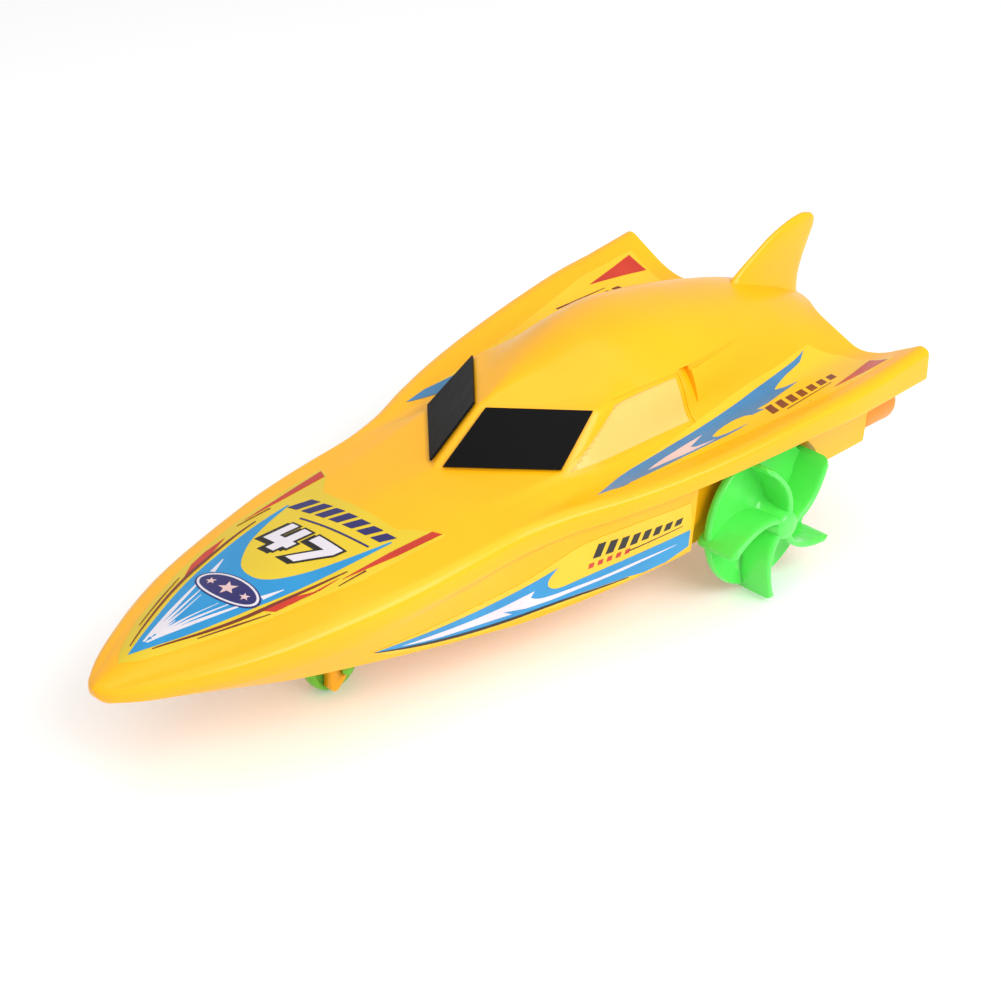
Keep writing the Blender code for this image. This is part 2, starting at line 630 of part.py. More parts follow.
def build_fork(shop, plastic):
    height = BOW_WHEEL_RADIUS - RIM_HEIGHT
    fork = shop.part("bow_fork", prism_mesh("bow_fork", fork_outline(), -FORK_HALF_WIDTH, FORK_HALF_WIDTH),
                     plastic)
    shop.cut(fork, box_mesh("slot", (BOW_WHEEL_STATION + FORK_NOTCH[0], -FORK_SLOT_HALF, -60.0),
                            (BOW_WHEEL_STATION + 12, FORK_SLOT_HALF, FORK_SLOT_TOP)))
    ceiling = hull_floor(BOW_WHEEL_STATION + FORK_REAR, 0.0) - FORK_PLATE - GAP
    for low, high in ((FORK_BLOCK_HALF, 9.0), (-9.0, -FORK_BLOCK_HALF)):
        shop.cut(fork, box_mesh("beside_block", (BOW_WHEEL_STATION + FORK_REAR - 1, low, -60.0),
                                (BOW_WHEEL_STATION + FORK_NOTCH[0] + 0.6, high, ceiling)))
    shop.cut(fork, cylinder_mesh("pin_hole", (BOW_WHEEL_STATION, -9, height), (BOW_WHEEL_STATION, 9, height),
                                 BOW_PIN_RADIUS + GAP, 20))
    return fork


# ---------------------------------------------------------------- the drive inside
def gear_outline(centre, teeth, phase):
    """Straight sided teeth, a little slim so that they turn freely."""
    pitch = GEAR_MODULE * teeth / 2
    tip, root = pitch + 0.9 * GEAR_MODULE, pitch - 1.15 * GEAR_MODULE
    tooth = 2 * math.pi / teeth
    points = []
    for index in range(teeth):
        middle = phase + index * tooth
        for radius, share in ((root, -0.34), (tip, -0.12), (tip, 0.12), (root, 0.34)):
            angle = middle + share * tooth
            points.append((centre[0] + radius * math.cos(angle), centre[1] + radius * math.sin(angle)))
    return points


def motor_centre():
    spread = GEAR_MODULE * (GEAR_TEETH + PINION_TEETH) / 2 + 0.12
    return AXLE_STATION + MOTOR_DX, AXLE_HEIGHT + math.sqrt(spread ** 2 - MOTOR_DX ** 2)


def build_drive(shop, steel, nylon, black, cell):
    axle_at = (AXLE_STATION, AXLE_HEIGHT)
    motor_at = motor_centre()
    towards = math.atan2(motor_at[1] - axle_at[1], motor_at[0] - axle_at[0])
    origin = (AXLE_STATION, 0.0, AXLE_HEIGHT)
    motor_origin = (motor_at[0], 0.0, motor_at[1])

    def across(name, at, low, high, radius, segments=24):
        return cylinder_mesh(name, (at[0], low, at[1]), (at[0], high, at[1]), radius, segments)

    shop.part("paddle_axle", across("paddle_axle", axle_at, -43.0, 43.0, AXLE_RADIUS), steel, origin)
    gear = shop.part("axle_gear", prism_mesh("axle_gear", gear_outline(axle_at, GEAR_TEETH, towards),
                                             GEAR_Y, GEAR_Y + GEAR_WIDTH, 20.0), nylon)
    shop.cut(gear, across("gear_bore", axle_at, 0.0, 20.0, AXLE_RADIUS + GAP))
    gap_phase = towards + math.pi + math.pi / PINION_TEETH
    teeth = prism_mesh("motor_pinion", gear_outline(motor_at, PINION_TEETH, gap_phase),
                       GEAR_Y - 0.2, GEAR_Y + GEAR_WIDTH + 0.2, 20.0)
    pinion = shop.part("motor_pinion", teeth, nylon)
    shop.cut(pinion, across("pinion_bore", motor_at, 0.0, 20.0, MOTOR_SHAFT_RADIUS + GAP))
    for thing, where in ((gear, origin), (pinion, motor_origin)):
        spot = place(where)
        thing.data.transform(Matrix.Translation(-spot))
        thing.location = spot
    shop.part("motor_shaft", across("motor_shaft", motor_at, 2.0, GEAR_Y + GEAR_WIDTH + 0.6,
                                    MOTOR_SHAFT_RADIUS), steel, motor_origin)
    can = []
    for angle in range(-48, 49, 8):
        turn = math.radians(angle)
        can.append((motor_at[0] + MOTOR_RADIUS * math.cos(turn), motor_at[1] + MOTOR_RADIUS * math.sin(turn)))
    can += [(2 * motor_at[0] - x, z) for x, z in reversed(can)]
    motor = shop.part("motor", prism_mesh("motor", can, -18.0, 7.0, 40.0), steel)
    shop.cut(motor, across("motor_bearing", motor_at, 1.4, 9.0, MOTOR_SHAFT_RADIUS + GAP))
    for name, side in (("axle_bush_port", 1), ("axle_bush_starboard", -1)):
        bush = shop.part(name, across(name, axle_at, side * 26.0, side * 29.9, 2.8), nylon)
        shop.join(bush, across(name, axle_at, side * 29.4, side * 30.6, 3.7))
        shop.cut(bush, across(name, axle_at, side * 24, side * 32, AXLE_RADIUS + GAP))
    build_cradle(shop, motor_at, black)
    build_electrics(shop, steel, black, cell)


def build_cradle(shop, motor_at, plastic):
    """Block on the hull's bottom, just ahead of the axle, that the motor lies on."""
    floor = hull_floor(AXLE_STATION, 0.0) + WALL + GAP
    rest = motor_at[1] - MOTOR_RADIUS * math.sin(math.radians(48)) - GAP
    outline = [(45.6, floor), (57.0, floor), (57.0, rest), (45.6, rest)]
    return shop.part("motor_cradle", prism_mesh("motor_cradle", outline, -13.0, -5.0), plastic)


def rod_mesh(name, points, radius):
    """Round wire through points, as a poly curve with filled caps, welded to a mesh."""
    curve = bpy.data.curves.new(name, "CURVE")
    curve.dimensions = "3D"
    curve.bevel_depth = radius * MM
    curve.bevel_resolution = 1
    curve.use_fill_caps = True
    spline = curve.splines.new("POLY")
    spline.points.add(len(points) - 1)
    for target, point in zip(spline.points, points):
        target.co = (*place(point), 1.0)
    holder = bpy.data.objects.new(name, curve)
    bpy.context.scene.collection.objects.link(holder)
    bpy.context.view_layer.update()
    shape = holder.evaluated_get(bpy.context.evaluated_depsgraph_get())
    raw = bpy.data.meshes.new_from_object(shape)
    bpy.data.objects.remove(holder, do_unlink=True)
    bm = bmesh.new()
    bm.from_mesh(raw)
    bmesh.ops.remove_doubles(bm, verts=bm.verts, dist=0.00001)
    return finish_mesh(bm, name)


def build_electrics(shop, steel, black, cell):
    end = BATTERY_START + BATTERY_LENGTH
    battery = cylinder_mesh("battery", (BATTERY_START, 0, BATTERY_HEIGHT), (end - 1.2, 0, BATTERY_HEIGHT),
                            BATTERY_RADIUS, 32)
    battery = shop.part("battery", battery, cell)
    shop.join(battery, cylinder_mesh("button", (end - 2, 0, BATTERY_HEIGHT), (end, 0, BATTERY_HEIGHT),
                                     2.6, 20))
    for name, low, high in (("contact_negative", BATTERY_START - GAP - 0.6, BATTERY_START - GAP),
                            ("contact_positive", end + GAP, end + GAP + 0.6)):
        plate = box_mesh(name, (low, -4.5, BATTERY_HEIGHT - 5), (high, 4.5, BATTERY_HEIGHT + 5))
        shop.part(name, plate, steel)
    shop.part("switch_body", box_mesh("switch_body", (14.7, -8.0, -20.5), (20.0, 8.0, -11.5)), black)
    knob = shop.part("switch_knob", box_mesh("switch_knob", (7.2, -4.0, -18.4), (9.6, 1.0, -13.6)), black)
    shop.join(knob, box_mesh("stem", (9.0, -3.0, -17.2), (14.3, 0.0, -14.8)))
    red = plain_material("wire_red", RED, 0.5)
    wires = (
        ("wire_switch_motor", red, ((20.4, -5, -16), (26, -6, -13), (34, -21, -13), (42, -21, -20),
                                    (45, -18.9, -20))),
        ("wire_switch_cell", red, ((20.4, 5, -16), (26, 6, -12), (36, 10, -8.5), (60, 10, -8.5), (100, 10, -17),
                                   (113.5, 4, -19.5), (113.5, 2, -24), (113.1, 2, -27))),
        ("wire_cell_motor", black, ((59.1, -2, -25), (58.7, -8, -22), (59.5, -20, -19), (52, -20.5, -19),
                                    (50, -18.9, -19))),
    )
    for name, material, points in wires:
        shop.part(name, rod_mesh(name, points, 0.55), material)


# ---------------------------------------------------------------- skins, glazing and trim
def surface_point(at, half_breadth):
    """Spot on the upper deck surface at a station and signed half breadth."""
    points = deck_half_section(at)[3:]
    reach = abs(half_breadth)
    side = 1 if half_breadth >= 0 else -1
    for outer, inner in zip(points, points[1:]):
        if inner.y <= reach <= outer.y:
            t = (outer.y - reach) / (outer.y - inner.y)
            spot = outer.lerp(inner, t)
            return Vector((spot.x, side * reach, spot.z))
    return Vector((points[-1].x, 0.0, points[-1].z))


def side_point(at, share, side):
    """Spot on the hull side: share 0 at the chine, 1 under the rim."""
    chine, top = deck_half_section(at)[:2]
    spot = chine.lerp(top, share)
    return Vector((spot.x, side * spot.y, spot.z))


def sheet_mesh(name, rows, lift, thickness):
    """Thin closed skin over rows of surface points, lifted off along its normals."""
    normals = []
    for i, row in enumerate(rows):
        line = []
        for j in range(len(row)):
            along = rows[min(i + 1, len(rows) - 1)][j] - rows[max(i - 1, 0)][j]
            aside = row[min(j + 1, len(row) - 1)] - row[max(j - 1, 0)]
            normal = along.cross(aside).normalized()
            line.append(normal if normal.z > -0.4 else -normal)
        normals.append(line)
    middle = rows[len(rows) // 2][len(rows[0]) // 2]
    wanted = Vector((0.0, middle.y, abs(middle.y) * 0.4 + 4.0))
    if normals[len(rows) // 2][len(rows[0]) // 2].dot(wanted) < 0:
        normals = [[-n for n in line] for line in normals]
    bm = bmesh.new()
    layers = []
    for offset in (lift, lift + thickness):
        layers.append([[bm.verts.new(place(p + n * offset)) for p, n in zip(row, line)]
                       for row, line in zip(rows, normals)])
    below, above = layers
    high, wide = len(rows), len(rows[0])
    for i in range(high - 1):
        for j in range(wide - 1):
            bm.faces.new((above[i][j], above[i + 1][j], above[i + 1][j + 1], above[i][j + 1]))
            bm.faces.new((below[i][j], below[i][j + 1], below[i + 1][j + 1], below[i + 1][j]))
    loop = [(i, 0) for i in range(high)] + [(high - 1, j) for j in range(1, wide)]
    loop += [(i, wide - 1) for i in range(high - 2, -1, -1)] + [(0, j) for j in range(wide - 2, 0, -1)]
    for (i, j), (k, l) in zip(loop, loop[1:] + loop[:1]):
        bm.faces.new((below[i][j], below[k][l], above[k][l], above[i][j]))
    return finish_mesh(bm, name)


def build_glazing(shop, black):
    """Two black panes inset in the swept windscreen."""
    for name, side in (("windscreen_port", 1), ("windscreen_starboard", -1)):
        base = deck_half_section(SCREEN_BASE)
        top = deck_half_section(SCREEN_TOP)
        rows = []
        for step in (0.02, 0.35, 0.65, 0.97):
            row = []
            for share in (0.08, 0.36, 0.66, 0.97):
                low = base[9].lerp(base[7], share)
                high = top[9].lerp(top[7], share)
                spot = low.lerp(high, step)
                row.append(Vector((spot.x, side * spot.y, spot.z)))
            rows.append(row)
        shop.part(name, sheet_mesh(name, rows, GAP, 0.5), black)


def build_decals(shop, blue, yellow):
    rows = []
    for step in range(13):
        at = 134.0 + (184.0 - 134.0) * step / 12
        half = 15.5 * (1 - step / 12) ** 0.85 + 0.8
        rows.append([surface_point(at, half * (2 * k / 8 - 1)) for k in range(9)])
    shop.part("foredeck_decal", sheet_mesh("foredeck_decal", rows, GAP, 0.2), yellow)
    for name, side in (("deck_decal_port", 1), ("deck_decal_starboard", -1)):
        rows = []
        for step in range(11):
            at = 6.0 + 80.0 * step / 10
            middle = 33.5 - 1.5 * step / 10
            half = 5.6 * (1 - step / 10) ** 0.7 + 0.5
            rows.append([surface_point(at, side * (middle + half * (2 * k / 4 - 1))) for k in range(5)])
        shop.part(name, sheet_mesh(name, rows, GAP, 0.2), blue)
    for name, side in (("side_decal_port", 1), ("side_decal_starboard", -1)):
        rows = []
        for step in range(9):
            at = 70.0 + 78.0 * step / 8
            low, high = 0.10, 0.62 - 0.32 * step / 8
            rows.append([side_point(at, low + (high - low) * k / 3, side) for k in range(4)])
        shop.part(name, sheet_mesh(name, rows, GAP, 0.2), blue)


def build_fin(shop, plastic):
    """Swept fin on the cabin's tail, with a tab in the deck's slot."""
    outline = [(13.4, 6.2), (6.0, 10.8), (1.0, 13.3), (-5.2, 15.1), (-11.0, 15.4), (-13.6, 14.5),
               (-14.7, 12.2), (-12.9, 8.6), (-11.0, 4.6), (-9.4, 0.4), (-8.7, -2.6)]
    seat = [(x, line_value(LINES[-1]["z"], x) + GAP) for x in (-8.2, -5, 0, 4, 8, 11)]
    fin = shop.part("tail_fin", prism_mesh("tail_fin", outline + seat, -1.25, 1.25), plastic)
    shop.join(fin, box_mesh("tab", (-0.7, -0.7, -4.0), (7.7, 0.7, 5.0)))
    return fin


def build_stern_pods(shop, orange):
    for name, side in (("stern_pod_port", 1), ("stern_pod_starboard", -1)):
        centre_y = side * POD_HALF_BREADTH
        pod = shop.part(name, cylinder_mesh(name, (POD_END, centre_y, POD_HEIGHT), (9.6, centre_y, POD_HEIGHT),
                                            POD_RADIUS, 32), orange)
        shop.cut(pod, cylinder_mesh(name, (POD_END - 2, centre_y, POD_HEIGHT),
                                    (POD_END + 3, centre_y, POD_HEIGHT), POD_RADIUS - 1.7, 32))


def build_fasteners(shop, steel, plastic, green):
    place_names = ("deck_screw_rear", "deck_screw_front")
    for (station, half), base in zip(SCREW_PLACES, place_names):
        floor = hull_floor(station, half)
        for side, word in ((1, "port"), (-1, "starboard")):
            name = "%s_%s" % (base, word)
            spot = side * half
            screw = shop.part(name, cylinder_mesh(name, (station, spot, floor + 1.2), (station, spot, -20.6),
                                                  SCREW_RADIUS, 16), steel)
            shop.join(screw, cylinder_mesh(name, (station, spot, floor + 0.5), (station, spot, floor + 1.9),
                                           2.2, 20))
    start, end, half = HATCH
    keel = hull_floor(start, 0.0)
    hatch = shop.part("battery_hatch", box_mesh("battery_hatch", (start + GAP, -half + GAP, keel),
                                                (end - GAP, half - GAP, keel + 1.6)), plastic)
    spot = (start + end) / 2 + 17.0
    shop.cut(hatch, cylinder_mesh("hatch_hole", (spot, 0, keel - 3), (spot, 0, keel + 4), 1.35, 16))
    shop.part("hatch_screw", cylinder_mesh("hatch_screw", (spot, 0, keel - 0.1), (spot, 0, keel + 3.2),
                                           1.0, 16), steel)
    hub = (BOW_WHEEL_STATION, 0.0, BOW_WHEEL_RADIUS - RIM_HEIGHT)
    shop.part("bow_wheel_pin", bow_pin_mesh(hub), green)


def main():
    clear_scene()
    shop = Workshop()
    yellow = plain_material("yellow_plastic", YELLOW, 0.32)
    paddle_green = plain_material("paddle_green_plastic", PADDLE_GREEN, 0.3)
    bow_green = plain_material("bow_green_plastic", BOW_GREEN, 0.35)
    orange = plain_material("orange_plastic", ORANGE, 0.35)
    black = plain_material("black_plastic", BLACK, 0.3)
    steel = plain_material("steel", STEEL, 0.3, 1.0)
    nylon = plain_material("nylon", NYLON, 0.4)
    blue = plain_material("decal_blue", DECAL_BLUE, 0.3)
    decal = plain_material("decal_yellow", DECAL_YELLOW, 0.3)
    cell = plain_material("cell_wrap", BATTERY_GREY, 0.35)
    build_deck(shop, yellow)
    build_hull(shop, yellow)
    build_fin(shop, yellow)
    build_glazing(shop, black)
    build_decals(shop, blue, decal)
    build_stern_pods(shop, orange)
    build_paddle_wheel(shop, "paddle_wheel_port", 1, paddle_green)
    build_paddle_wheel(shop, "paddle_wheel_starboard", -1, paddle_green)
    build_bow_wheel(shop, bow_green)
    build_fork(shop, yellow)
    build_drive(shop, steel, nylon, black, cell)
    build_fasteners(shop, steel, yellow, bow_green)


main()
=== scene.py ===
"""Looks of the toy speedboat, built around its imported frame.

Stations are millimetres ahead of the stern corners.  Heights are millimetres above the top of
the stern corners, which stand RIM_HEIGHT above the floor.  +X is the bow and +Y is port.
"""

import math

import bmesh
import bpy
from mathutils import Matrix, Vector
from mathutils.bvhtree import BVHTree


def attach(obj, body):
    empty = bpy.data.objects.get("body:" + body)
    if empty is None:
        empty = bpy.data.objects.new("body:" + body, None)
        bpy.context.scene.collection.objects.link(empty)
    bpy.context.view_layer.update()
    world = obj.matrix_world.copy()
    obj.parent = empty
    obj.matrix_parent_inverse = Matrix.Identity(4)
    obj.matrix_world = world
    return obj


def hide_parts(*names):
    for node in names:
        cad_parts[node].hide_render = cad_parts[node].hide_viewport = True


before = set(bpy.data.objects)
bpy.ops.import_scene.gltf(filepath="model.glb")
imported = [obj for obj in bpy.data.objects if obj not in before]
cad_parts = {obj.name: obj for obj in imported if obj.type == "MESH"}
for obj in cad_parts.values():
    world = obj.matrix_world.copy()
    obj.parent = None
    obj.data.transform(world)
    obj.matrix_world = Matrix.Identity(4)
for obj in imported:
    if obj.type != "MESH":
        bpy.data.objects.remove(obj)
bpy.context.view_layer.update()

MM = 0.001
RIM_HEIGHT = 48.8
MID_STATION = 93.5
WALL = 1.6
TAIL_STATION = -9.5
TAIL_START = 14.3
BOW_STATION = 201.7
SCREEN_BASE = 110.8
SCREEN_TOP = 97.0
AXLE_STATION = 43.2
AXLE_HEIGHT = -30.5
SIDES = ((1, "port"), (-1, "starboard"))

# ---------- lines of the deck moulding
RIM_AT = (-9.5, 20, 40, 58, 74, 87, 100, 112, 126, 136, 148, 161, 170, 179, 187, 195, 201.7)
SLOPE_AT = (-9.5, 30, 58, 87, 110, 126, 150, 186, 201.7)
ROOF_AT = (-9.5, 0, 14.3, 30, 42, 55, 68, 82, 97, 110.8, 125, 150, 185, 201.7)


def spaced(stations, *values):
    """Pairs of station and value, for lines that share their stations."""
    return tuple(zip(stations, values))


LINES = {
    "chine": {
        "cabin": 0.0, "tail": 2.05,
        "y": ((-9.5, 38.0), (30, 37.6), (58, 36.6), (68, 35.6), (84, 33.2), (107, 28.3), (126, 25.3),
              (143, 23.0), (163, 18.9), (179, 13.2), (190, 8.4), (201.7, 1.6)),
        "z": ((-9.5, -23.5), (34, -24.2), (52, -26.0), (66, -30.6), (84, -32.3), (107, -33.8),
              (126, -32.2), (143, -29.8), (163, -27.4), (186, -25.0), (201.7, -24.2))},
    "side_top": {
        "cabin": 0.0, "tail": 2.05,
        "y": ((-9.5, 39.6), (30, 39.4), (58, 38.2), (70, 37.2), (84, 34.9), (100, 30.1), (112, 27.8),
              (126, 27.0), (150, 24.6), (170, 19.6), (186, 12.4), (195, 7.6), (201.7, 2.1)),
        "z": spaced(SLOPE_AT, -8.2, -9.4, -11.2, -14.2, -17.2, -19.0, -21.3, -23.6, -23.7)},
    "rim_bottom": {
        "cabin": 0.0, "tail": 1.0,
        "y": spaced(RIM_AT, 47.2, 47.2, 45.5, 43.1, 39.8, 36.0, 31.4, 29.0, 28.2, 27.4, 25.5, 22.8, 20.3,
                    16.8, 12.8, 8.0, 2.4),
        "z": spaced(SLOPE_AT, -8.0, -9.2, -11.0, -13.8, -15.8, -17.0, -19.0, -21.9, -23.0)},
    "rim_top": {
        "cabin": 0.0, "tail": 1.0,
        "y": spaced(RIM_AT, 47.3, 47.3, 45.6, 43.2, 39.9, 36.1, 31.4, 29.0, 28.2, 27.4, 25.5, 22.7, 20.2,
                    16.6, 12.6, 7.9, 2.3),
        "z": spaced(SLOPE_AT, -0.7, -3.8, -6.8, -9.7, -11.9, -13.3, -15.9, -19.7, -22.0)},
    "rim_inner": {
        "cabin": 0.0, "tail": 1.0,
        "y": spaced(RIM_AT, 45.0, 44.8, 43.1, 40.7, 37.5, 33.8, 29.5, 27.4, 26.6, 25.8, 23.9, 21.1, 18.5,
                    15.0, 11.2, 6.8, 1.8),
        "z": spaced(SLOPE_AT, 0.0, -3.2, -6.2, -8.9, -10.4, -11.7, -14.4, -18.7, -21.5)},
    "deck_edge": {
        "cabin": 0.4, "tail": 1.0,
        "y": ((-9.5, 34.0), (14.3, 35.0), (30, 35.4), (55, 34.4), (68, 32.8), (82, 30.2), (97, 27.0),
              (111, 24.8), (125, 23.4), (150, 20.3), (170, 15.2), (185, 9.8), (201.7, 1.3)),
        "z": ((-9.5, -6.0), (14.3, -6.2), (30, -6.8), (55, -8.2), (68, -9.0), (82, -9.6), (97, -9.8),
              (111, -9.7), (125, -10.7), (150, -13.5), (185, -18.0), (201.7, -21.2))},
    "cabin_foot": {
        "cabin": 1.0, "tail": 1.0,
        "y": ((-9.5, 27.5), (14.3, 25.0), (30, 24.2), (55, 24.0), (82, 24.0), (97, 24.0), (111, 22.7),
              (125, 20.6), (150, 16.8), (170, 12.2), (185, 7.6), (201.7, 0.9)),
        "z": ((-9.5, -7.5), (14.3, -7.6), (30, -7.9), (55, -8.2), (82, -8.5), (97, -8.5), (111, -8.2),
              (125, -9.6), (150, -12.7), (185, -17.2), (201.7, -21.0))},
    "cabin_edge": {
        "cabin": 1.0, "tail": 0.74,
        "y": ((-9.5, 12.4), (14.3, 15.2), (30, 17.8), (42, 19.4), (55, 20.2), (68, 20.0), (82, 19.4),
              (97, 18.9), (110.8, 21.3), (125, 17.5), (150, 12.5), (170, 8.8), (185, 5.3),
              (201.7, 0.6)),
        "z": ((-9.5, -3.4), (14.3, 0.8), (30, 2.6), (42, 3.3), (55, 3.5), (68, 3.4), (82, 3.1),
              (97, 2.6), (110.8, -6.9), (125, -8.9), (150, -12.1), (185, -16.6), (201.7, -20.9))},
    "roof_side": {
        "cabin": 0.5, "tail": 0.2,
        "y": ((-9.5, 6.0), (14.3, 8.0), (30, 9.4), (55, 10.6), (82, 10.0), (97, 9.3), (110.8, 10.4),
              (125, 9.0), (150, 6.8), (185, 3.0), (201.7, 0.3)),
        "z": spaced(ROOF_AT, -4.2, 0.3, 4.7, 8.2, 10.2, 11.3, 10.5, 7.6, 2.8, -7.0, -8.5, -11.5,
                    -16.2, -20.8)},
    "centre": {
        "cabin": 0.0, "tail": 0.0,
        "y": ((-9.5, 0.0), (201.7, 0.0)),
        "z": spaced(ROOF_AT, -4.0, 0.6, 5.7, 9.6, 12.0, 13.1, 12.1, 8.5, 2.9, -7.1, -8.3, -11.2,
                    -16.0, -20.7)},
}
CABIN_SWEEP = ((-9.5, 0.0), (42, 0.0), (55, 4.5), (68, 11.0), (82, 15.2), (97, 17.6),
               (110.8, 19.0), (125, 11.0), (140, 3.4), (152, 0.0), (201.7, 0.0))
UNDERSIDE_TUCK = (0.4, 1.0, 2.1, 3.5, 3.5, 3.5, 3.5, 3.5)
UNDERSIDE_DROP = (0.1, 0.3, 0.6, 1.1, 1.1, 1.1, 1.1, 1.1)
# Rounding of the section's corners: steps, share of the shorter neighbouring edge, longest (mm).
CORNERS = ((3, 0.30, 0.5), (4, 0.40, 0.8), (6, 0.46, 2.2), (6, 0.46, 2.2), (7, 0.48, 5.0),
           (7, 0.48, 5.0), (8, 0.48, 6.0), (7, 0.49, 8.0))
CREST = (5, 0.5, 7.0)
CRISP = {7: 1.6, 8: 2.0}      # longest rounding of the cabin's edge and roof beside the windscreen
CREST_CRISP = 1.0
CRISP_BEHIND = 3.0            # how far past the windscreen's edges the section stays crisp
CRISP_AHEAD = 2.0
CRISP_FADE = 14.0
NOSE_LENGTH = 2.2
NOSE_STEPS = 6
NOSE_TURN = 14                # degrees of the nose's rounding for each step
NOSE_TIP = 0.25               # share of the section's size that is left at the tip


def slopes(points):
    steps = [(b[1] - a[1]) / (b[0] - a[0]) for a, b in zip(points, points[1:])]
    result = [steps[0]]
    for before, after in zip(steps, steps[1:]):
        result.append(2 * before * after / (before + after) if before * after > 0 else 0.0)
    return result + [steps[-1]]


def smooth_value(points, at):
    """Value at a station of the smooth curve through (station, value) points."""
    at = min(max(at, points[0][0]), points[-1][0])
    slope = slopes(points)
    for index, (a, b) in enumerate(zip(points, points[1:])):
        if at <= b[0]:
            break
    span = b[0] - a[0]
    t = (at - a[0]) / span
    return (a[1] * (1 + 2 * t) * (1 - t) ** 2 + b[1] * t * t * (3 - 2 * t)
            + span * (slope[index] * t * (1 - t) ** 2 - slope[index + 1] * t * t * (1 - t)))


def line_value(points, at):
    """Like smooth_value, but with a crease at the windscreen's two edges."""
    if SCREEN_BASE not in [p[0] for p in points]:
        return smooth_value(points, at)
    low, high = TAIL_STATION, BOW_STATION
    if at < SCREEN_TOP:
        high = SCREEN_TOP
    elif at < SCREEN_BASE:
        low, high = SCREEN_TOP, SCREEN_BASE
    else:
        low = SCREEN_BASE
    return smooth_value([p for p in points if low - 1e-6 <= p[0] <= high + 1e-6], at)


def tail_shift(at):
    if at >= TAIL_START:
        return 0.0
    return at - TAIL_START * (at - TAIL_STATION) / (TAIL_START - TAIL_STATION)


def deck_half_section(at):
    """Corner points of the deck moulding at one station, port side, chine to centre line."""
    points = []
    for line in LINES.values():
        x = at - line["cabin"] * smooth_value(CABIN_SWEEP, at) - line["tail"] * tail_shift(at)
        points.append(Vector((x, line_value(line["y"], at), line_value(line["z"], at))))
    return points


def screen_weight(at):
    """1 over the windscreen, 0 away from it."""
    reach = max(SCREEN_TOP - CRISP_BEHIND - at, at - SCREEN_BASE - CRISP_AHEAD, 0.0)
    return max(0.0, 1.0 - reach / CRISP_FADE)


def bend(start, here, end, steps, part=1.0):
    """Points round a corner from start to end, or along only the first part of it."""
    result = []
    for step in range(steps + 1):
        t = part * step / steps
        result.append(start.lerp(here, t).lerp(here.lerp(end, t), t))
    return result


def rounded_half(points, at):
    """The half section with its corners rounded, always the same number of points."""
    crisp = screen_weight(at)
    result = [points[0]]
    for index, (steps, share, limit) in enumerate(CORNERS, start=1):
        before, here, after = points[index - 1:index + 2]
        if index in CRISP:
            limit = limit + (CRISP[index] - limit) * crisp
        reach = min(share * (here - before).length, share * (after - here).length, limit)
        start = here + (before - here).normalized() * reach
        end = here + (after - here).normalized() * reach
        result += bend(start, here, end, steps)
    steps, share, limit = CREST
    limit = limit + (CREST_CRISP - limit) * crisp
    here = points[-1]
    before = points[-2]
    reach = min(share * (here - before).length, limit)
    start = here + (before - here).normalized() * reach
    end = Vector((start.x, -start.y, start.z))
    result += bend(start, here, end, steps, 0.5)
    result[-1].y = 0.0
    return result


def inset_section(points, distance):
    """The half section moved inwards by a distance, in its own plane."""
    result = []
    for index, point in enumerate(points):
        before = points[max(index - 1, 0)]
        after = points[min(index + 1, len(points) - 1)]
        into = (point - before).yz if index else (after - point).yz
        out = (after - point).yz if index < len(points) - 1 else Vector((-1.0, 0.0))
        if index == len(points) - 1:
            normal = Vector((0.0, -1.0))
        else:
            mean = into.normalized() + out.normalized()
            normal = Vector((-mean.y, mean.x)).normalized()
        turn = max(normal.dot(Vector((-out.y, out.x)).normalized()), 0.75)
        y = max(point.y + normal.x * distance / turn, 0.0)
        result.append(Vector((point.x, y, point.z + normal.y * distance / turn)))
    result[-1].y = 0.0
    return result


def mirrored_ring(half):
    return half + [Vector((p.x, -p.y, p.z)) for p in reversed(half[:-1])]


def place(point):
    """Station, half breadth and height in mm to world metres."""
    return Vector(((point[0] - MID_STATION) * MM, point[1] * MM, (point[2] + RIM_HEIGHT) * MM))


# ---------- mesh helpers
def smooth(mesh, angle):
    mesh.shade_smooth()
    mesh.set_sharp_from_angle(angle=math.radians(angle))


def finish_mesh(bm, name, smooth_angle=32.0):
    bmesh.ops.recalc_face_normals(bm, faces=bm.faces)
    bmesh.ops.triangulate(bm, faces=[f for f in bm.faces if len(f.verts) > 4])
    mesh = bpy.data.meshes.new(name)
    bm.to_mesh(mesh)
    bm.free()
    smooth(mesh, smooth_angle)
    return mesh


def ring_solid(name, rings, smooth_angle=40.0):
    """Closed solid through rings of world points, all with the same number of points."""
    bm = bmesh.new()
    rows = [[bm.verts.new(p) for p in ring] for ring in rings]
    count = len(rows[0])
    for low, high in zip(rows, rows[1:]):
        for k in range(count):
            bm.faces.new((low[k], low[(k + 1) % count], high[(k + 1) % count], high[k]))
    bm.faces.new(rows[0])
    bm.faces.new(rows[-1])
    return finish_mesh(bm, name, smooth_angle)


def loft_mesh(name, rings, smooth_angle=32.0):
    """Closed solid through rings given in station coordinates."""
    return ring_solid(name, [[place(p) for p in ring] for ring in rings], smooth_angle)


def prism_mesh(name, outline, low_y, high_y):
    """Closed outline in station and height, extruded across the boat."""
    return loft_mesh(name, [[(x, y, z) for x, z in outline] for y in (low_y, high_y)])


def box_mesh(name, low, high):
    bm = bmesh.new()
    centre = (place(low) + place(high)) / 2
    size = place(high) - place(low)
    matrix = Matrix.Translation(centre) @ Matrix.Diagonal((*size, 1))
    bmesh.ops.create_cube(bm, size=1.0, matrix=matrix)
    return finish_mesh(bm, name)


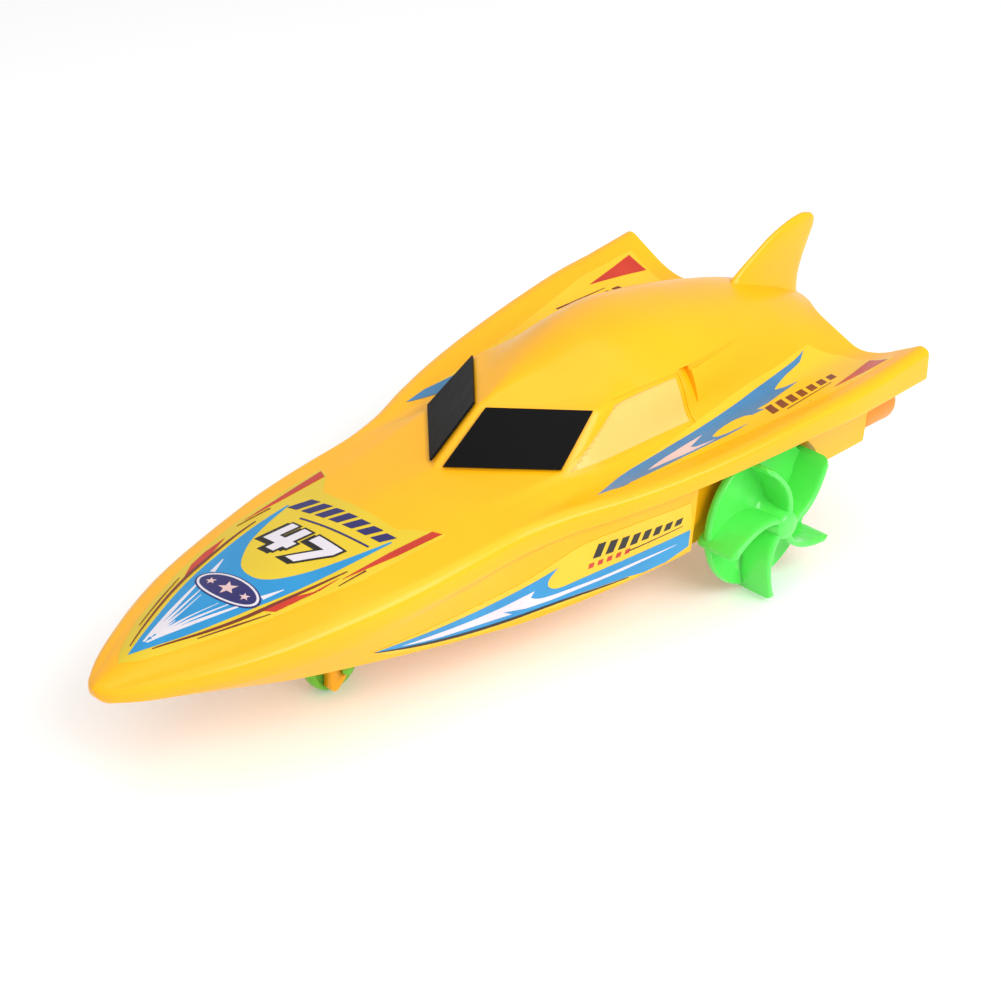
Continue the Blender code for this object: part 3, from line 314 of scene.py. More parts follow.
def between_layers(name, inner, outer):
    """Closed solid between two grids of world points."""
    bm = bmesh.new()
    below = [[bm.verts.new(p) for p in row] for row in inner]
    above = [[bm.verts.new(p) for p in row] for row in outer]
    high, wide = len(below), len(below[0])
    for i in range(high - 1):
        for j in range(wide - 1):
            bm.faces.new((above[i][j], above[i + 1][j], above[i + 1][j + 1], above[i][j + 1]))
            bm.faces.new((below[i][j], below[i][j + 1], below[i + 1][j + 1], below[i + 1][j]))
    loop = [(i, 0) for i in range(high)] + [(high - 1, j) for j in range(1, wide)]
    loop += [(i, wide - 1) for i in range(high - 2, -1, -1)] + [(0, j) for j in range(wide - 2, 0, -1)]
    for (i, j), (k, l) in zip(loop, loop[1:] + loop[:1]):
        bm.faces.new((below[i][j], below[k][l], above[k][l], above[i][j]))
    return finish_mesh(bm, name)


def new_object(name, mesh):
    thing = bpy.data.objects.new(name, mesh)
    bpy.context.scene.collection.objects.link(thing)
    return thing


def boolean(target, mesh, operation="DIFFERENCE"):
    """Cut or join a helper solid and keep the result as the target's own mesh."""
    cutter = new_object("cutter", mesh)
    modifier = target.modifiers.new("boolean", "BOOLEAN")
    modifier.operation = operation
    modifier.object = cutter
    modifier.solver = "EXACT"
    bpy.context.view_layer.update()
    shape = target.evaluated_get(bpy.context.evaluated_depsgraph_get())
    result = bpy.data.meshes.new_from_object(shape)
    target.modifiers.remove(modifier)
    target.data = result
    bpy.data.objects.remove(cutter, do_unlink=True)


def tree_of(thing):
    bm = bmesh.new()
    bm.from_mesh(thing.data)
    tree = BVHTree.FromBMesh(bm)
    bm.free()
    return tree


# ---------- materials
def srgb(colour):
    return tuple(c / 12.92 if c <= 0.04045 else ((c + 0.055) / 1.055) ** 2.4 for c in colour) + (1.0,)


def fill(node, values):
    for name, value in values.items():
        node.inputs[name].default_value = value


class Nodes:
    """Short names for making a node tree."""

    def __init__(self, name):
        self.material = bpy.data.materials.new(name)
        self.material.use_nodes = True
        self.tree = self.material.node_tree
        self.shader = self.tree.nodes["Principled BSDF"]

    def add(self, kind, values=None):
        node = self.tree.nodes.new(kind)
        fill(node, values or {})
        return node

    def link(self, start, end):
        self.tree.links.new(start, end)

    def noise(self, scale, detail=3.0, roughness=0.5):
        node = self.add("ShaderNodeTexNoise", {"Scale": scale, "Detail": detail, "Roughness": roughness})
        self.link(self.add("ShaderNodeTexCoord").outputs["Object"], node.inputs["Vector"])
        return node.outputs["Fac"]

    def remap(self, value, low, high, from_low=0.0, from_high=1.0):
        node = self.add("ShaderNodeMapRange", {"From Min": from_low, "From Max": from_high,
                                               "To Min": low, "To Max": high})
        self.link(value, node.inputs["Value"])
        return node.outputs["Result"]

    def mix(self, factor, one, two):
        node = self.add("ShaderNodeMix")
        node.data_type = "RGBA"
        self.link(factor, node.inputs[0])
        for socket, colour in ((node.inputs[6], one), (node.inputs[7], two)):
            if isinstance(colour, tuple):
                socket.default_value = colour
            else:
                self.link(colour, socket)
        return node.outputs[2]

    def bump(self, height, strength, distance):
        node = self.add("ShaderNodeBump", {"Strength": strength, "Distance": distance})
        self.link(height, node.inputs["Height"])
        self.link(node.outputs["Normal"], self.shader.inputs["Normal"])


def plastic(name, colour, shade, roughness, glow=0.0, radius=(1.0, 0.6, 0.2), coat=0.0, bump=0.03, gloss=0.3):
    """Moulded plastic: faint flow marks in the colour, uneven gloss and a fine orange peel."""
    nodes = Nodes(name)
    flow = nodes.remap(nodes.noise(28.0, 4.0), 0.0, 1.0, 0.35, 0.65)
    nodes.link(nodes.mix(flow, srgb(colour), srgb(shade)), nodes.shader.inputs["Base Color"])
    nodes.link(nodes.remap(nodes.noise(60.0, 2.0), roughness - 0.02, roughness + 0.03, 0.3, 0.7),
               nodes.shader.inputs["Roughness"])
    nodes.bump(nodes.noise(150.0, 1.0), bump, 0.0003)
    fill(nodes.shader, {
        "Specular IOR Level": gloss,
        "Subsurface Weight": glow,
        "Subsurface Radius": radius,
        "Subsurface Scale": 0.004,
        "Coat Weight": coat,
        "Coat Roughness": 0.16,
    })
    return nodes.material


def metal(name, colour, roughness):
    nodes = Nodes(name)
    grain = nodes.noise(900.0, 3.0, 0.7)
    nodes.link(nodes.mix(grain, srgb(colour), srgb(tuple(c * 0.82 for c in colour))),
               nodes.shader.inputs["Base Color"])
    nodes.link(nodes.remap(grain, roughness - 0.08, roughness + 0.1), nodes.shader.inputs["Roughness"])
    nodes.shader.inputs["Metallic"].default_value = 1.0
    nodes.bump(grain, 0.12, 0.0001)
    return nodes.material


FILM_ROUGHNESS = 0.28


def print_film(name, colour, shade):
    """Printed vinyl: ink density drifts a little and the film is slightly uneven."""
    nodes = Nodes(name)
    drift = nodes.remap(nodes.noise(90.0, 3.0), 0.0, 1.0, 0.35, 0.65)
    nodes.link(nodes.mix(drift, srgb(colour), srgb(shade)), nodes.shader.inputs["Base Color"])
    nodes.link(nodes.remap(nodes.noise(300.0, 3.0), FILM_ROUGHNESS - 0.05, FILM_ROUGHNESS + 0.08),
               nodes.shader.inputs["Roughness"])
    nodes.bump(nodes.noise(700.0, 2.0), 0.08, 0.0001)
    return nodes.material


YELLOW = plastic("yellow_plastic", (0.975, 0.70, 0.05), (0.96, 0.68, 0.04), 0.30, 0.10,
                 (1.0, 0.5, 0.05), 0.08)
# Paler, glossier copy of the yellow plastic: its pale colour is painted sheen, the light caught by the flat
# window recesses.
YELLOW_SHEEN = plastic("yellow_plastic_painted_sheen", (1.0, 0.765, 0.40), (1.0, 0.75, 0.37), 0.20, 0.10,
                      (1.0, 0.5, 0.05))
GREEN = plastic("paddle_green_plastic", (0.36, 0.90, 0.36), (0.32, 0.87, 0.33), 0.26, 0.15,
                (0.25, 1.0, 0.25), 0.4)
BOW_GREEN = plastic("bow_green_plastic", (0.48, 0.81, 0.27), (0.44, 0.77, 0.24), 0.30, 0.2, (0.4, 1.0, 0.3))
# Painted shade: the pods' orange is the hue that the hull's yellow plastic takes in deep shade, as under the
# stern's overhang.
POD_SHADE_ORANGE = plastic("orange_plastic", (0.98, 0.58, 0.20), (0.97, 0.54, 0.17), 0.34, 0.2, (1.0, 0.5, 0.1))
BLACK = plastic("black_plastic", (0.07, 0.07, 0.07), (0.06, 0.06, 0.06), 0.42)
PANE = plastic("pane_black", (0.055, 0.055, 0.055), (0.048, 0.048, 0.048), 0.38, bump=0.02, gloss=0.06)
NYLON = plastic("nylon", (0.93, 0.93, 0.90), (0.88, 0.88, 0.84), 0.40)
CELL = plastic("cell_wrap", (0.25, 0.28, 0.33), (0.22, 0.25, 0.30), 0.30)
WIRE_RED = plastic("wire_red", (0.80, 0.10, 0.06), (0.72, 0.08, 0.05), 0.50)
WIRE_BLACK = plastic("wire_black", (0.05, 0.05, 0.05), (0.03, 0.03, 0.03), 0.50)
STEEL = metal("steel", (0.72, 0.73, 0.75), 0.30)
FILM_YELLOW = print_film("film_yellow", (0.86, 0.74, 0.14), (0.84, 0.72, 0.12))
FILM_LEMON = print_film("film_lemon", (0.93, 0.74, 0.12), (0.91, 0.72, 0.10))
FILM_BLUE = print_film("film_blue", (0.13, 0.55, 0.77), (0.11, 0.52, 0.74))
FILM_DEEP = print_film("film_deep_blue", (0.26, 0.50, 0.68), (0.23, 0.46, 0.64))
FILM_NAVY = print_film("film_navy", (0.16, 0.14, 0.40), (0.13, 0.11, 0.36))
FILM_WHITE = print_film("film_white", (0.86, 0.83, 0.85), (0.83, 0.80, 0.83))
FILM_PINK = print_film("film_pink", (0.86, 0.74, 0.72), (0.83, 0.70, 0.69))
FILM_RED = print_film("film_red", (0.76, 0.20, 0.10), (0.71, 0.17, 0.09))
FILM_BROWN = print_film("film_brown", (0.46, 0.17, 0.10), (0.42, 0.15, 0.09))
FILM_BLACK = print_film("film_black", (0.10, 0.07, 0.06), (0.07, 0.05, 0.05))


def paint(thing, material):
    thing.data.materials.clear()
    thing.data.materials.append(material)


def keep(thing, material, body, slot, *nodes):
    """Give a piece its material and its body, and hide the nodes that it stands for; its finish (slot) is not
    used.
    """
    paint(thing, material)
    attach(thing, body)
    for node in nodes:
        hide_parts(node)
    return thing


# ---------- deck moulding
def stations_between(low, high, count):
    return [low + (high - low) * k / count for k in range(count + 1)]


DECK_STATIONS = sorted(set(stations_between(TAIL_STATION, SCREEN_TOP, 84)
                           + stations_between(SCREEN_TOP, SCREEN_BASE, 10)
                           + stations_between(SCREEN_BASE, BOW_STATION - NOSE_LENGTH, 62)))


def deck_ring(at):
    return mirrored_ring(rounded_half(deck_half_section(at), at))


def deck_rings():
    stern = deck_half_section(TAIL_STATION)
    under = [stern[0], stern[1]]
    for point, tuck, drop in zip(stern[2:], UNDERSIDE_TUCK, UNDERSIDE_DROP):
        under.append(Vector((stern[0].x, min(point.y, stern[1].y - tuck), stern[1].z - drop)))
    rings = [mirrored_ring(rounded_half(under, TAIL_STATION))]
    rings += [deck_ring(at) for at in DECK_STATIONS]
    for step in range(1, NOSE_STEPS + 1):
        turn = math.radians(NOSE_TURN * step)
        ring = deck_ring(BOW_STATION - NOSE_LENGTH + NOSE_LENGTH * math.sin(turn))
        middle = sum(ring, Vector()) / len(ring)
        shrink = NOSE_TIP + (1 - NOSE_TIP) * math.cos(turn)
        rings.append([Vector((p.x, middle.y + (p.y - middle.y) * shrink,
                              middle.z + (p.z - middle.z) * shrink)) for p in ring])
    return rings


INNER_STATIONS = (TAIL_START, 22, 30, 36, 42, 48, 55, 61.5, 68, 75, 82, 89.5, SCREEN_TOP, SCREEN_BASE,
                  118, 125, 133, 142, 151, 160, 169, 177, 184)
INNER_WALL = WALL + 0.6
INNER_FLOOR = -52.0           # below the moulding's open underside


def inner_rings():
    rings = []
    for at in INNER_STATIONS:
        half = inset_section(deck_half_section(at), INNER_WALL)
        half[0] = Vector((half[0].x, half[0].y, INNER_FLOOR))
        rings.append(mirrored_ring(half))
    return rings


ARCH_RADIUS = 19.2
ARCH_FRONT = 66.5
ARCH_TOP = -11.2
ARCH_ROOF = 0.5               # least thickness left under the rim
ARCH_INNER_Y = 31.2
ARCH_STEPS = 40
ARCH_PITCH = 3                # between the points along its top
OUTSIDE_Y = 60.0              # beyond the boat's side


def arch_outline(radius, front):
    points = []
    for step in range(ARCH_STEPS + 1):
        angle = math.radians(90 + 180 * step / ARCH_STEPS)
        points.append((AXLE_STATION + radius * math.cos(angle), AXLE_HEIGHT + radius * math.sin(angle)))
    points.append((front, AXLE_HEIGHT - radius))
    points += [(front - step, AXLE_HEIGHT + radius)
               for step in range(0, int(front - AXLE_STATION), ARCH_PITCH)]
    return points


def arch_roof(at):
    """Highest part of the wheel arch at a station, just under the rim."""
    return min(ARCH_TOP, smooth_value(LINES["side_top"]["z"], at) - ARCH_ROOF)


RIM_LOWEST = -12.0            # heights above this are seen from inside the rim
RAY_ABOVE_Y = 30.0            # where a ray from the side starts, above that height and below it
RAY_BELOW_Y = 70.0


def side_ray(tree, station, height, side):
    """Surface beside the boat at a station and height: the cabin's above the rim, else the hull's."""
    start = RAY_ABOVE_Y if height > RIM_LOWEST else RAY_BELOW_Y
    return tree.ray_cast(place((station, side * start, height)), Vector((0.0, -side, 0.0)))[:2]


PATCH_OUT = 3.0               # how far a patch's solid stands outside the surface


def side_patch(tree, corners, side, depth, count=14):
    """Solid over a patch of the boat's side; depth is a function of (along, up) in mm."""
    front_low, front_top, rear_top, rear_low = [Vector(c) for c in corners]
    inner, outer = [], []
    for i in range(count + 1):
        up = i / count
        low_row, high_row = [], []
        for j in range(count + 1):
            along = j / count
            low = front_low.lerp(rear_low, along)
            high = front_top.lerp(rear_top, along)
            at = low.lerp(high, up)
            spot, normal = side_ray(tree, at.x, at.y, side)
            low_row.append(spot - normal * depth(along, up) * MM)
            high_row.append(spot + normal * PATCH_OUT * MM)
        inner.append(low_row)
        outer.append(high_row)
    return between_layers("patch", inner, outer)


# Recesses in the cabin's side: corners, then depths as a function of (along, up).
WINDOW = ((91.2, -7.5), (74.0, 2.1), (55.2, 2.4), (55.0, -7.2))
WINDOW_FRAME = ((93.4, -7.9), (74.3, 2.9), (54.4, 3.1), (54.2, -7.6))
INTAKE = ((54.1, -3.4), (54.2, 3.5), (50.4, 3.5), (50.9, -4.2))
LEDGE = ((50.5, 2.5), (50.5, 3.5), (31.0, 3.0), (31.0, 2.8))
RECESSES = (
    (WINDOW_FRAME, lambda along, up: 0.22),
    (WINDOW, lambda along, up: 0.30 + 0.7 * (1 - along) * (0.35 + 0.65 * up)),
    (INTAKE, lambda along, up: 0.02 + 1.9 * along * (0.15 + 0.85 * up)),
    (LEDGE, lambda along, up: 0.05 + 0.5 * (1 - along)),
)
SWITCH_SLOT = ((5.0, -4.6, -17.7), (16.0, 4.6, -14.3))
FIN_SLOT = ((-1.0, -1.0, -4.5), (8.0, 1.0, 12.0))
DECK_SMOOTH = 28.0


def build_deck():
    deck = new_object("deck_moulding", loft_mesh("deck_moulding", deck_rings(), DECK_SMOOTH))
    tree = tree_of(deck)
    hollow = new_object("hollow", loft_mesh("hollow", inner_rings()))
    for side in (1, -1):
        outline = [(x, min(z, arch_roof(x) + WALL))
                   for x, z in arch_outline(ARCH_RADIUS + WALL, ARCH_FRONT + WALL)]
        low, high = sorted((side * (ARCH_INNER_Y - WALL), side * OUTSIDE_Y))
        boolean(hollow, prism_mesh("liner", outline, low, high))
    boolean(deck, hollow.data.copy())
    bpy.data.objects.remove(hollow, do_unlink=True)
    for side in (1, -1):
        outline = [(x, min(z, arch_roof(x))) for x, z in arch_outline(ARCH_RADIUS, ARCH_FRONT)]
        low, high = sorted((side * ARCH_INNER_Y, side * OUTSIDE_Y))
        boolean(deck, prism_mesh("arch", outline, low, high))
        for corners, depth in RECESSES:
            boolean(deck, side_patch(tree, corners, side, depth))
    boolean(deck, box_mesh("switch_slot", *SWITCH_SLOT))
    boolean(deck, box_mesh("fin_slot", *FIN_SLOT))
    smooth(deck.data, DECK_SMOOTH)
    keep(deck, YELLOW, "hull", "yellow_plastic", "deck_shell")
    return deck, tree


DECK, DECK_TREE = build_deck()
CUT_TREE = tree_of(DECK)


# ---------- films on the mouldings
FILM_BASE = 0.10              # how far the lowest film stands off the surface
FILM_STEP = 0.05
FILM_SINK = 0.03              # how far a film's back sits in the surface
FILM_GRID = 0.9
FILM_WELD = 0.06
SKY = 60.0                    # height that rays from above start at


def curve(points, steps=6):
    """Smooth line through points (Catmull-Rom)."""
    points = [Vector(p) for p in points]
    padded = [points[0]] + points + [points[-1]]
    result = []
    for a, b, c, d in zip(padded, padded[1:], padded[2:], padded[3:]):
        for step in range(steps):
            t = step / steps
            result.append(0.5 * ((2 * b) + (c - a) * t + (2 * a - 5 * b + 4 * c - d) * t * t
                                 + (3 * b - 3 * c + d - a) * t ** 3))
    return [tuple(p) for p in result + [points[-1]]]


def gridded(outline):
    """Flat mesh within an outline, cut along a square grid so that it can follow a surface."""
    bm = bmesh.new()
    bm.faces.new([bm.verts.new((x, y, 0.0)) for x, y in outline])
    bm.normal_update()
    bmesh.ops.triangulate(bm, faces=bm.faces[:])
    for axis in (0, 1):
        low = min(p[axis] for p in outline)
        high = max(p[axis] for p in outline)
        direction = Vector((axis == 0, axis == 1, 0.0))
        for k in range(math.ceil(low / FILM_GRID), math.floor(high / FILM_GRID) + 1):
            bmesh.ops.bisect_plane(bm, geom=bm.verts[:] + bm.edges[:] + bm.faces[:], dist=1e-5,
                                   plane_co=direction * (k * FILM_GRID), plane_no=direction)
    bmesh.ops.remove_doubles(bm, verts=bm.verts, dist=FILM_WELD)
    bmesh.ops.dissolve_degenerate(bm, dist=0.01, edges=bm.edges[:])
    bmesh.ops.triangulate(bm, faces=bm.faces[:])
    bm.verts.index_update()
    return bm


def film(name, outlines, layer, material, side=0, tree=None, slot="decal_film", nodes=()):
    """Thin printed film. Outlines are (station, half breadth) seen from above when side is 0,
    otherwise (station, height) seen from that side."""
    whole = bmesh.new()
    outward = Vector((0.0, side, 0.0)) if side else Vector((0.0, 0.0, 1.0))
    lift = (FILM_BASE + FILM_STEP * layer) * MM
    for outline in outlines:
        bm = gridded(outline)
        above, below = [], []
        for vert in bm.verts:
            if side:
                spot = side_ray(tree or DECK_TREE, vert.co.x, vert.co.y, side)[0]
            else:
                spot = DECK_TREE.ray_cast(place((vert.co.x, vert.co.y, SKY)), -outward)[0]
            above.append(whole.verts.new(spot + outward * lift))
            below.append(whole.verts.new(spot - outward * FILM_SINK * MM))
        made = set()
        for face in bm.faces:
            corners = [v.index for v in face.verts]
            if frozenset(corners) not in made:
                made.add(frozenset(corners))
                whole.faces.new([above[k] for k in corners])
                whole.faces.new([below[k] for k in reversed(corners)])
        for edge in bm.edges:
            if len(edge.link_faces) == 1:
                a, b = [v.index for v in edge.verts]
                whole.faces.new((above[a], above[b], below[b], below[a]))
        bm.free()
    return keep(new_object(name, finish_mesh(whole, name, 0.0)), material, "hull", slot, *nodes)


def stroke(points, widths):
    """Outline of a stroke along points with a width at each."""
    points = [Vector(p) for p in points]
    left, right = [], []
    for k, point in enumerate(points):
        along = (points[min(k + 1, len(points) - 1)] - points[max(k - 1, 0)]).normalized()
        across = Vector((-along.y, along.x))
        t = k / (len(points) - 1) * (len(widths) - 1)
        low = min(int(t), len(widths) - 2)
        width = widths[low] + (widths[low + 1] - widths[low]) * (t - low)
        left.append(tuple(point + across * width / 2))
        right.append(tuple(point - across * width / 2))
    return left + right[::-1]


def ellipse(centre, radii, turn=0.0, count=40):
    result = []
    for k in range(count):
        angle = 2 * math.pi * k / count
        x, y = radii[0] * math.cos(angle), radii[1] * math.sin(angle)
        result.append((centre[0] + x * math.cos(turn) - y * math.sin(turn),
                       centre[1] + x * math.sin(turn) + y * math.cos(turn)))
    return result


def grow(outline, distance):
    """The outline moved outwards all round (inwards when negative)."""
    area = sum(a[0] * b[1] - b[0] * a[1] for a, b in zip(outline, outline[1:] + outline[:1]))
    sign = 1.0 if area > 0 else -1.0
    result = []
    count = len(outline)
    for k, point in enumerate(outline):
        here = Vector(point)
        into = (here - Vector(outline[k - 1])).normalized()
        out = (Vector(outline[(k + 1) % count]) - here).normalized()
        normal = Vector((into.y + out.y, -into.x - out.x)).normalized() * sign
        turn = max(normal.dot(Vector((out.y, -out.x)) * sign), 0.45)
        result.append(tuple(here + normal * distance / turn))
    return result


def ring_outlines(centre, outer, inner, turn):
    """An elliptical ring as two halves, so that each is a plain outline."""
    big = ellipse(centre, outer, turn)
    small = ellipse(centre, inner, turn)
    half = len(big) // 2
    return [big[:half + 1] + small[:half + 1][::-1], big[half:] + big[:1] + small[:1] + small[half:][::-1]]


def star(centre, radii, points=5):
    result = []
    for k in range(2 * points):
        angle = math.pi * k / points
        share = 1.0 if k % 2 == 0 else 0.42
        result.append((centre[0] + radii[0] * share * math.cos(angle),
                       centre[1] + radii[1] * share * math.sin(angle)))
    return result


def bars(start, end, count, heights, up, fill=0.72):
    """Row of slanted blocks along a base line, their height going from one value to another."""
    start, end, up = Vector(start), Vector(end), Vector(up)
    result = []
    for k in range(count):
        low = start.lerp(end, k / count)
        high = start.lerp(end, (k + fill) / count)
        tall = up * (heights[0] + (heights[1] - heights[0]) * k / max(count - 1, 1))
        result.append([tuple(low), tuple(high), tuple(high + tall), tuple(low + tall)])
    return result


def glyph(shape, origin, along, up):
    return [tuple(Vector(origin) + Vector(along) * u + Vector(up) * v) for u, v in shape]


FOUR = ((0.0, 1.0), (0.27, 1.0), (0.27, 0.50), (0.52, 0.50), (0.52, 1.0), (0.83, 1.0), (0.83, 0.50),
        (1.0, 0.50), (1.0, 0.24), (0.83, 0.24), (0.83, 0.0), (0.52, 0.0), (0.52, 0.24), (0.0, 0.24))
SEVEN = ((0.0, 1.0), (1.0, 1.0), (1.0, 0.74), (0.56, 0.0), (0.20, 0.0), (0.64, 0.73), (0.0, 0.73))


def foredeck_films():
    film("foredeck_film", [
        [(195.0, -0.4), (192.0, -3.4), (184.2, -8.4), (176.0, -12.0), (168.0, -15.2), (160.0, -17.6),
         (148.4, -19.8), (136.0, -20.8), (124.0, -21.2), (125.0, -18.0), (131.0, -12.0), (130.6, 10.5),
         (126.0, 15.6), (124.4, 19.0), (136.2, 18.4), (146.9, 17.5), (155.8, 15.4), (167.0, 12.8),
         (176.4, 9.6), (186.5, 5.6), (192.0, 2.6)],
    ], 0, FILM_YELLOW, nodes=["foredeck_decal"])
    starboard = curve([(192.3, -0.5), (184.1, -3.9), (176.3, -7.3), (170.4, -9.5), (165.0, -11.1),
                       (160.0, -12.2), (153.6, -13.4), (145.6, -14.4), (138.6, -14.8)])
    port = curve([(192.3, -0.4), (187.5, 2.2), (181.1, 4.8), (172.4, 7.2), (166.3, 8.6), (159.4, 10.2),
                  (151.1, 11.6), (143.5, 12.4), (134.2, 13.2)])
    tongue = curve([(134.2, 12.8), (143.5, 10.7), (150.1, 8.9), (154.4, 7.2), (158.7, 4.7), (161.0, 1.7),
                    (161.0, -2.2), (159.0, -5.6), (154.4, -9.2), (150.1, -11.2), (144.7, -12.9),
                    (138.6, -14.4)])
    film("foredeck_blue", [starboard + tongue[::-1] + port[::-1][:-1]], 1, FILM_BLUE)
    film("foredeck_streaks", [
        stroke([(188.2, -0.6), (179.0, -3.7), (168.8, -7.2)], (0.5, 1.0, 0.5)),
        stroke([(188.0, 0.0), (179.0, 2.7), (169.0, 5.9)], (0.5, 1.0, 0.5)),
        stroke([(186.6, -0.8), (178.4, -2.6), (170.4, -4.6)], (0.9, 0.6, 0.25)),
        stroke([(186.6, 0.2), (178.4, 1.7), (170.2, 3.9)], (0.9, 0.6, 0.25)),
        stroke([(185.4, -0.6), (177.6, -1.7), (171.6, -3.0)], (1.0, 0.35, 0.1)),
        stroke([(185.4, -0.1), (177.6, 0.8), (171.2, 2.1)], (1.0, 0.35, 0.1)),
        stroke([(185.0, -0.3), (180.2, -0.5)], (0.9, 0.1)),
        stroke([(164.8, -7.8), (160.4, -9.7)], (1.2, 0.2)),
        stroke([(164.3, 7.3), (159.6, 8.6)], (1.2, 0.2)),
    ], 2, FILM_WHITE)
    badge = (166.9, -0.3)
    turn = 0.07
    film("foredeck_roundel_edge", [ellipse(badge, (3.9, 8.9), turn)], 3, FILM_NAVY)
    film("foredeck_roundel_ring", ring_outlines(badge, (3.6, 8.4), (3.15, 7.8), turn), 4, FILM_WHITE)
    film("foredeck_roundel_star", [
        star(badge, (2.1, 2.3)),
        star((badge[0] + 0.36, badge[1] - 4.9), (1.1, 1.3)),
        star((badge[0] - 0.36, badge[1] + 4.9), (1.1, 1.3)),
    ], 4, FILM_PINK)
    along, up = (0.0, 7.4), (-9.2, 1.6)
    digits = [glyph(FOUR, (152.6, -9.2), along, up), glyph(SEVEN, (152.4, -0.9), along, up)]
    edges = [grow(digit, 0.55) for digit in digits]
    film("foredeck_number_shadow", [[(x + 0.8, y - 0.7) for x, y in edge] for edge in edges], 1, FILM_BLACK)
    film("foredeck_number_edge", edges, 2, FILM_BLACK)
    film("foredeck_number", digits, 3, FILM_WHITE)
    film("foredeck_bars", bars((139.4, -14.0), (135.8, 12.6), 7, (5.0, 3.4), (-1.0, 0.42), 0.66)
         + [stroke([(141.0, -8.0), (138.6, 10.8)], (0.5, 0.5))], 2, FILM_NAVY)
    film("foredeck_red", [
        [(124.6, -20.2), (126.0, -17.4), (136.0, -17.7), (147.6, -18.4), (137.0, -19.2)],
        [(124.8, 18.2), (125.8, 16.3), (136.6, 15.2), (149.2, 14.6), (136.0, 17.0)],
        [(169.4, -11.6), (165.0, -14.6), (160.6, -15.9), (154.6, -16.4), (161.4, -13.4)],
        [(166.6, 10.2), (161.0, 10.9), (154.6, 13.9), (149.0, 14.0), (160.5, 12.9), (164.8, 12.2)],
    ], 2, FILM_RED)
    swell = (0.15, 0.6, 0.8, 0.6, 0.15)
    film("foredeck_lines", [
        stroke(curve([(190.4, -2.2), (179.0, -7.6), (169.6, -11.2), (161.0, -13.3), (153.6, -14.8),
                      (146.8, -15.6)]), swell),
        stroke(curve([(188.4, 2.4), (179.1, 6.4), (171.0, 9.0), (163.0, 10.6), (153.9, 12.4),
                      (146.9, 13.6)]), swell),
        stroke([(185.0, -6.2), (177.0, -9.8), (169.6, -12.8)], (0.1, 0.35, 0.1)),
        stroke([(180.6, 6.9), (173.0, 9.6), (166.0, 12.0)], (0.1, 0.35, 0.1)),
        stroke([(150.0, -17.9), (141.5, -17.2)], (0.1, 0.35)),
        stroke([(151.0, 15.6), (144.0, 16.0)], (0.1, 0.35)),
    ], 3, FILM_BROWN)


def deck_films(side, word):
    def show(name, outlines, *rest, **more):
        film(name + word, [[(x, side * y) for x, y in outline] for outline in outlines], *rest, **more)

    show("deck_film_", [
        [(91.0, 30.2), (80.0, 27.4), (68.0, 26.2), (52.0, 24.9), (36.0, 23.3), (22.0, 22.4), (11.0, 20.9),
         (6.0, 27.0), (5.0, 35.0), (4.6, 41.3), (22.0, 41.2), (38.0, 38.4), (58.0, 35.0), (76.0, 32.2)],
    ], 0, FILM_LEMON, nodes=["deck_decal_" + word])
    show("deck_blue_", [
        curve([(90.6, 29.9), (81.4, 27.8), (72.3, 27.2), (62.8, 26.8), (54.0, 26.6), (45.1, 26.0),
               (38.8, 25.3), (32.2, 24.5), (23.9, 23.6), (17.6, 22.8), (13.4, 21.7)], 3)
        + curve([(17.0, 23.7), (19.8, 24.3), (23.7, 25.0), (28.4, 26.4), (29.8, 27.2)], 3)
        + [(27.2, 27.8), (22.9, 28.2), (26.1, 28.7), (30.0, 29.2), (33.1, 29.7), (35.8, 30.1), (39.8, 30.2),
           (38.2, 31.5), (42.2, 31.2)]
        + curve([(43.6, 30.2), (45.8, 29.8), (48.8, 29.7), (52.4, 30.1), (55.4, 30.9)], 3)
        + [(54.6, 31.9), (52.0, 32.6), (45.4, 33.3), (49.6, 33.4), (53.6, 33.2)]
        + curve([(56.4, 32.8), (66.3, 32.1), (76.5, 31.6), (84.0, 31.3)], 3),
    ], 1, FILM_DEEP)
    show("deck_streaks_", [
        [(75.5, 30.3), (72.4, 29.7), (68.9, 29.3), (65.0, 29.1), (61.6, 28.9), (56.2, 28.8), (59.5, 29.7),
         (61.8, 30.3), (60.9, 31.2), (55.6, 32.3), (59.2, 32.1), (62.5, 31.8), (65.6, 31.5), (69.1, 31.0)],
    ], 2, FILM_PINK)
    show("deck_bars_", bars((39.6, 35.0), (15.4, 34.2), 7, (3.9, 2.3), (-0.42, -1.0), 0.64)
         + [stroke([(36.0, 36.1), (20.0, 35.4)], (0.45, 0.2))], 1, FILM_BROWN)
    show("deck_red_", [
        [(22.6, 38.2), (13.6, 36.6), (5.6, 34.9), (6.2, 40.4), (14.0, 39.4)],
    ], 1, FILM_RED)


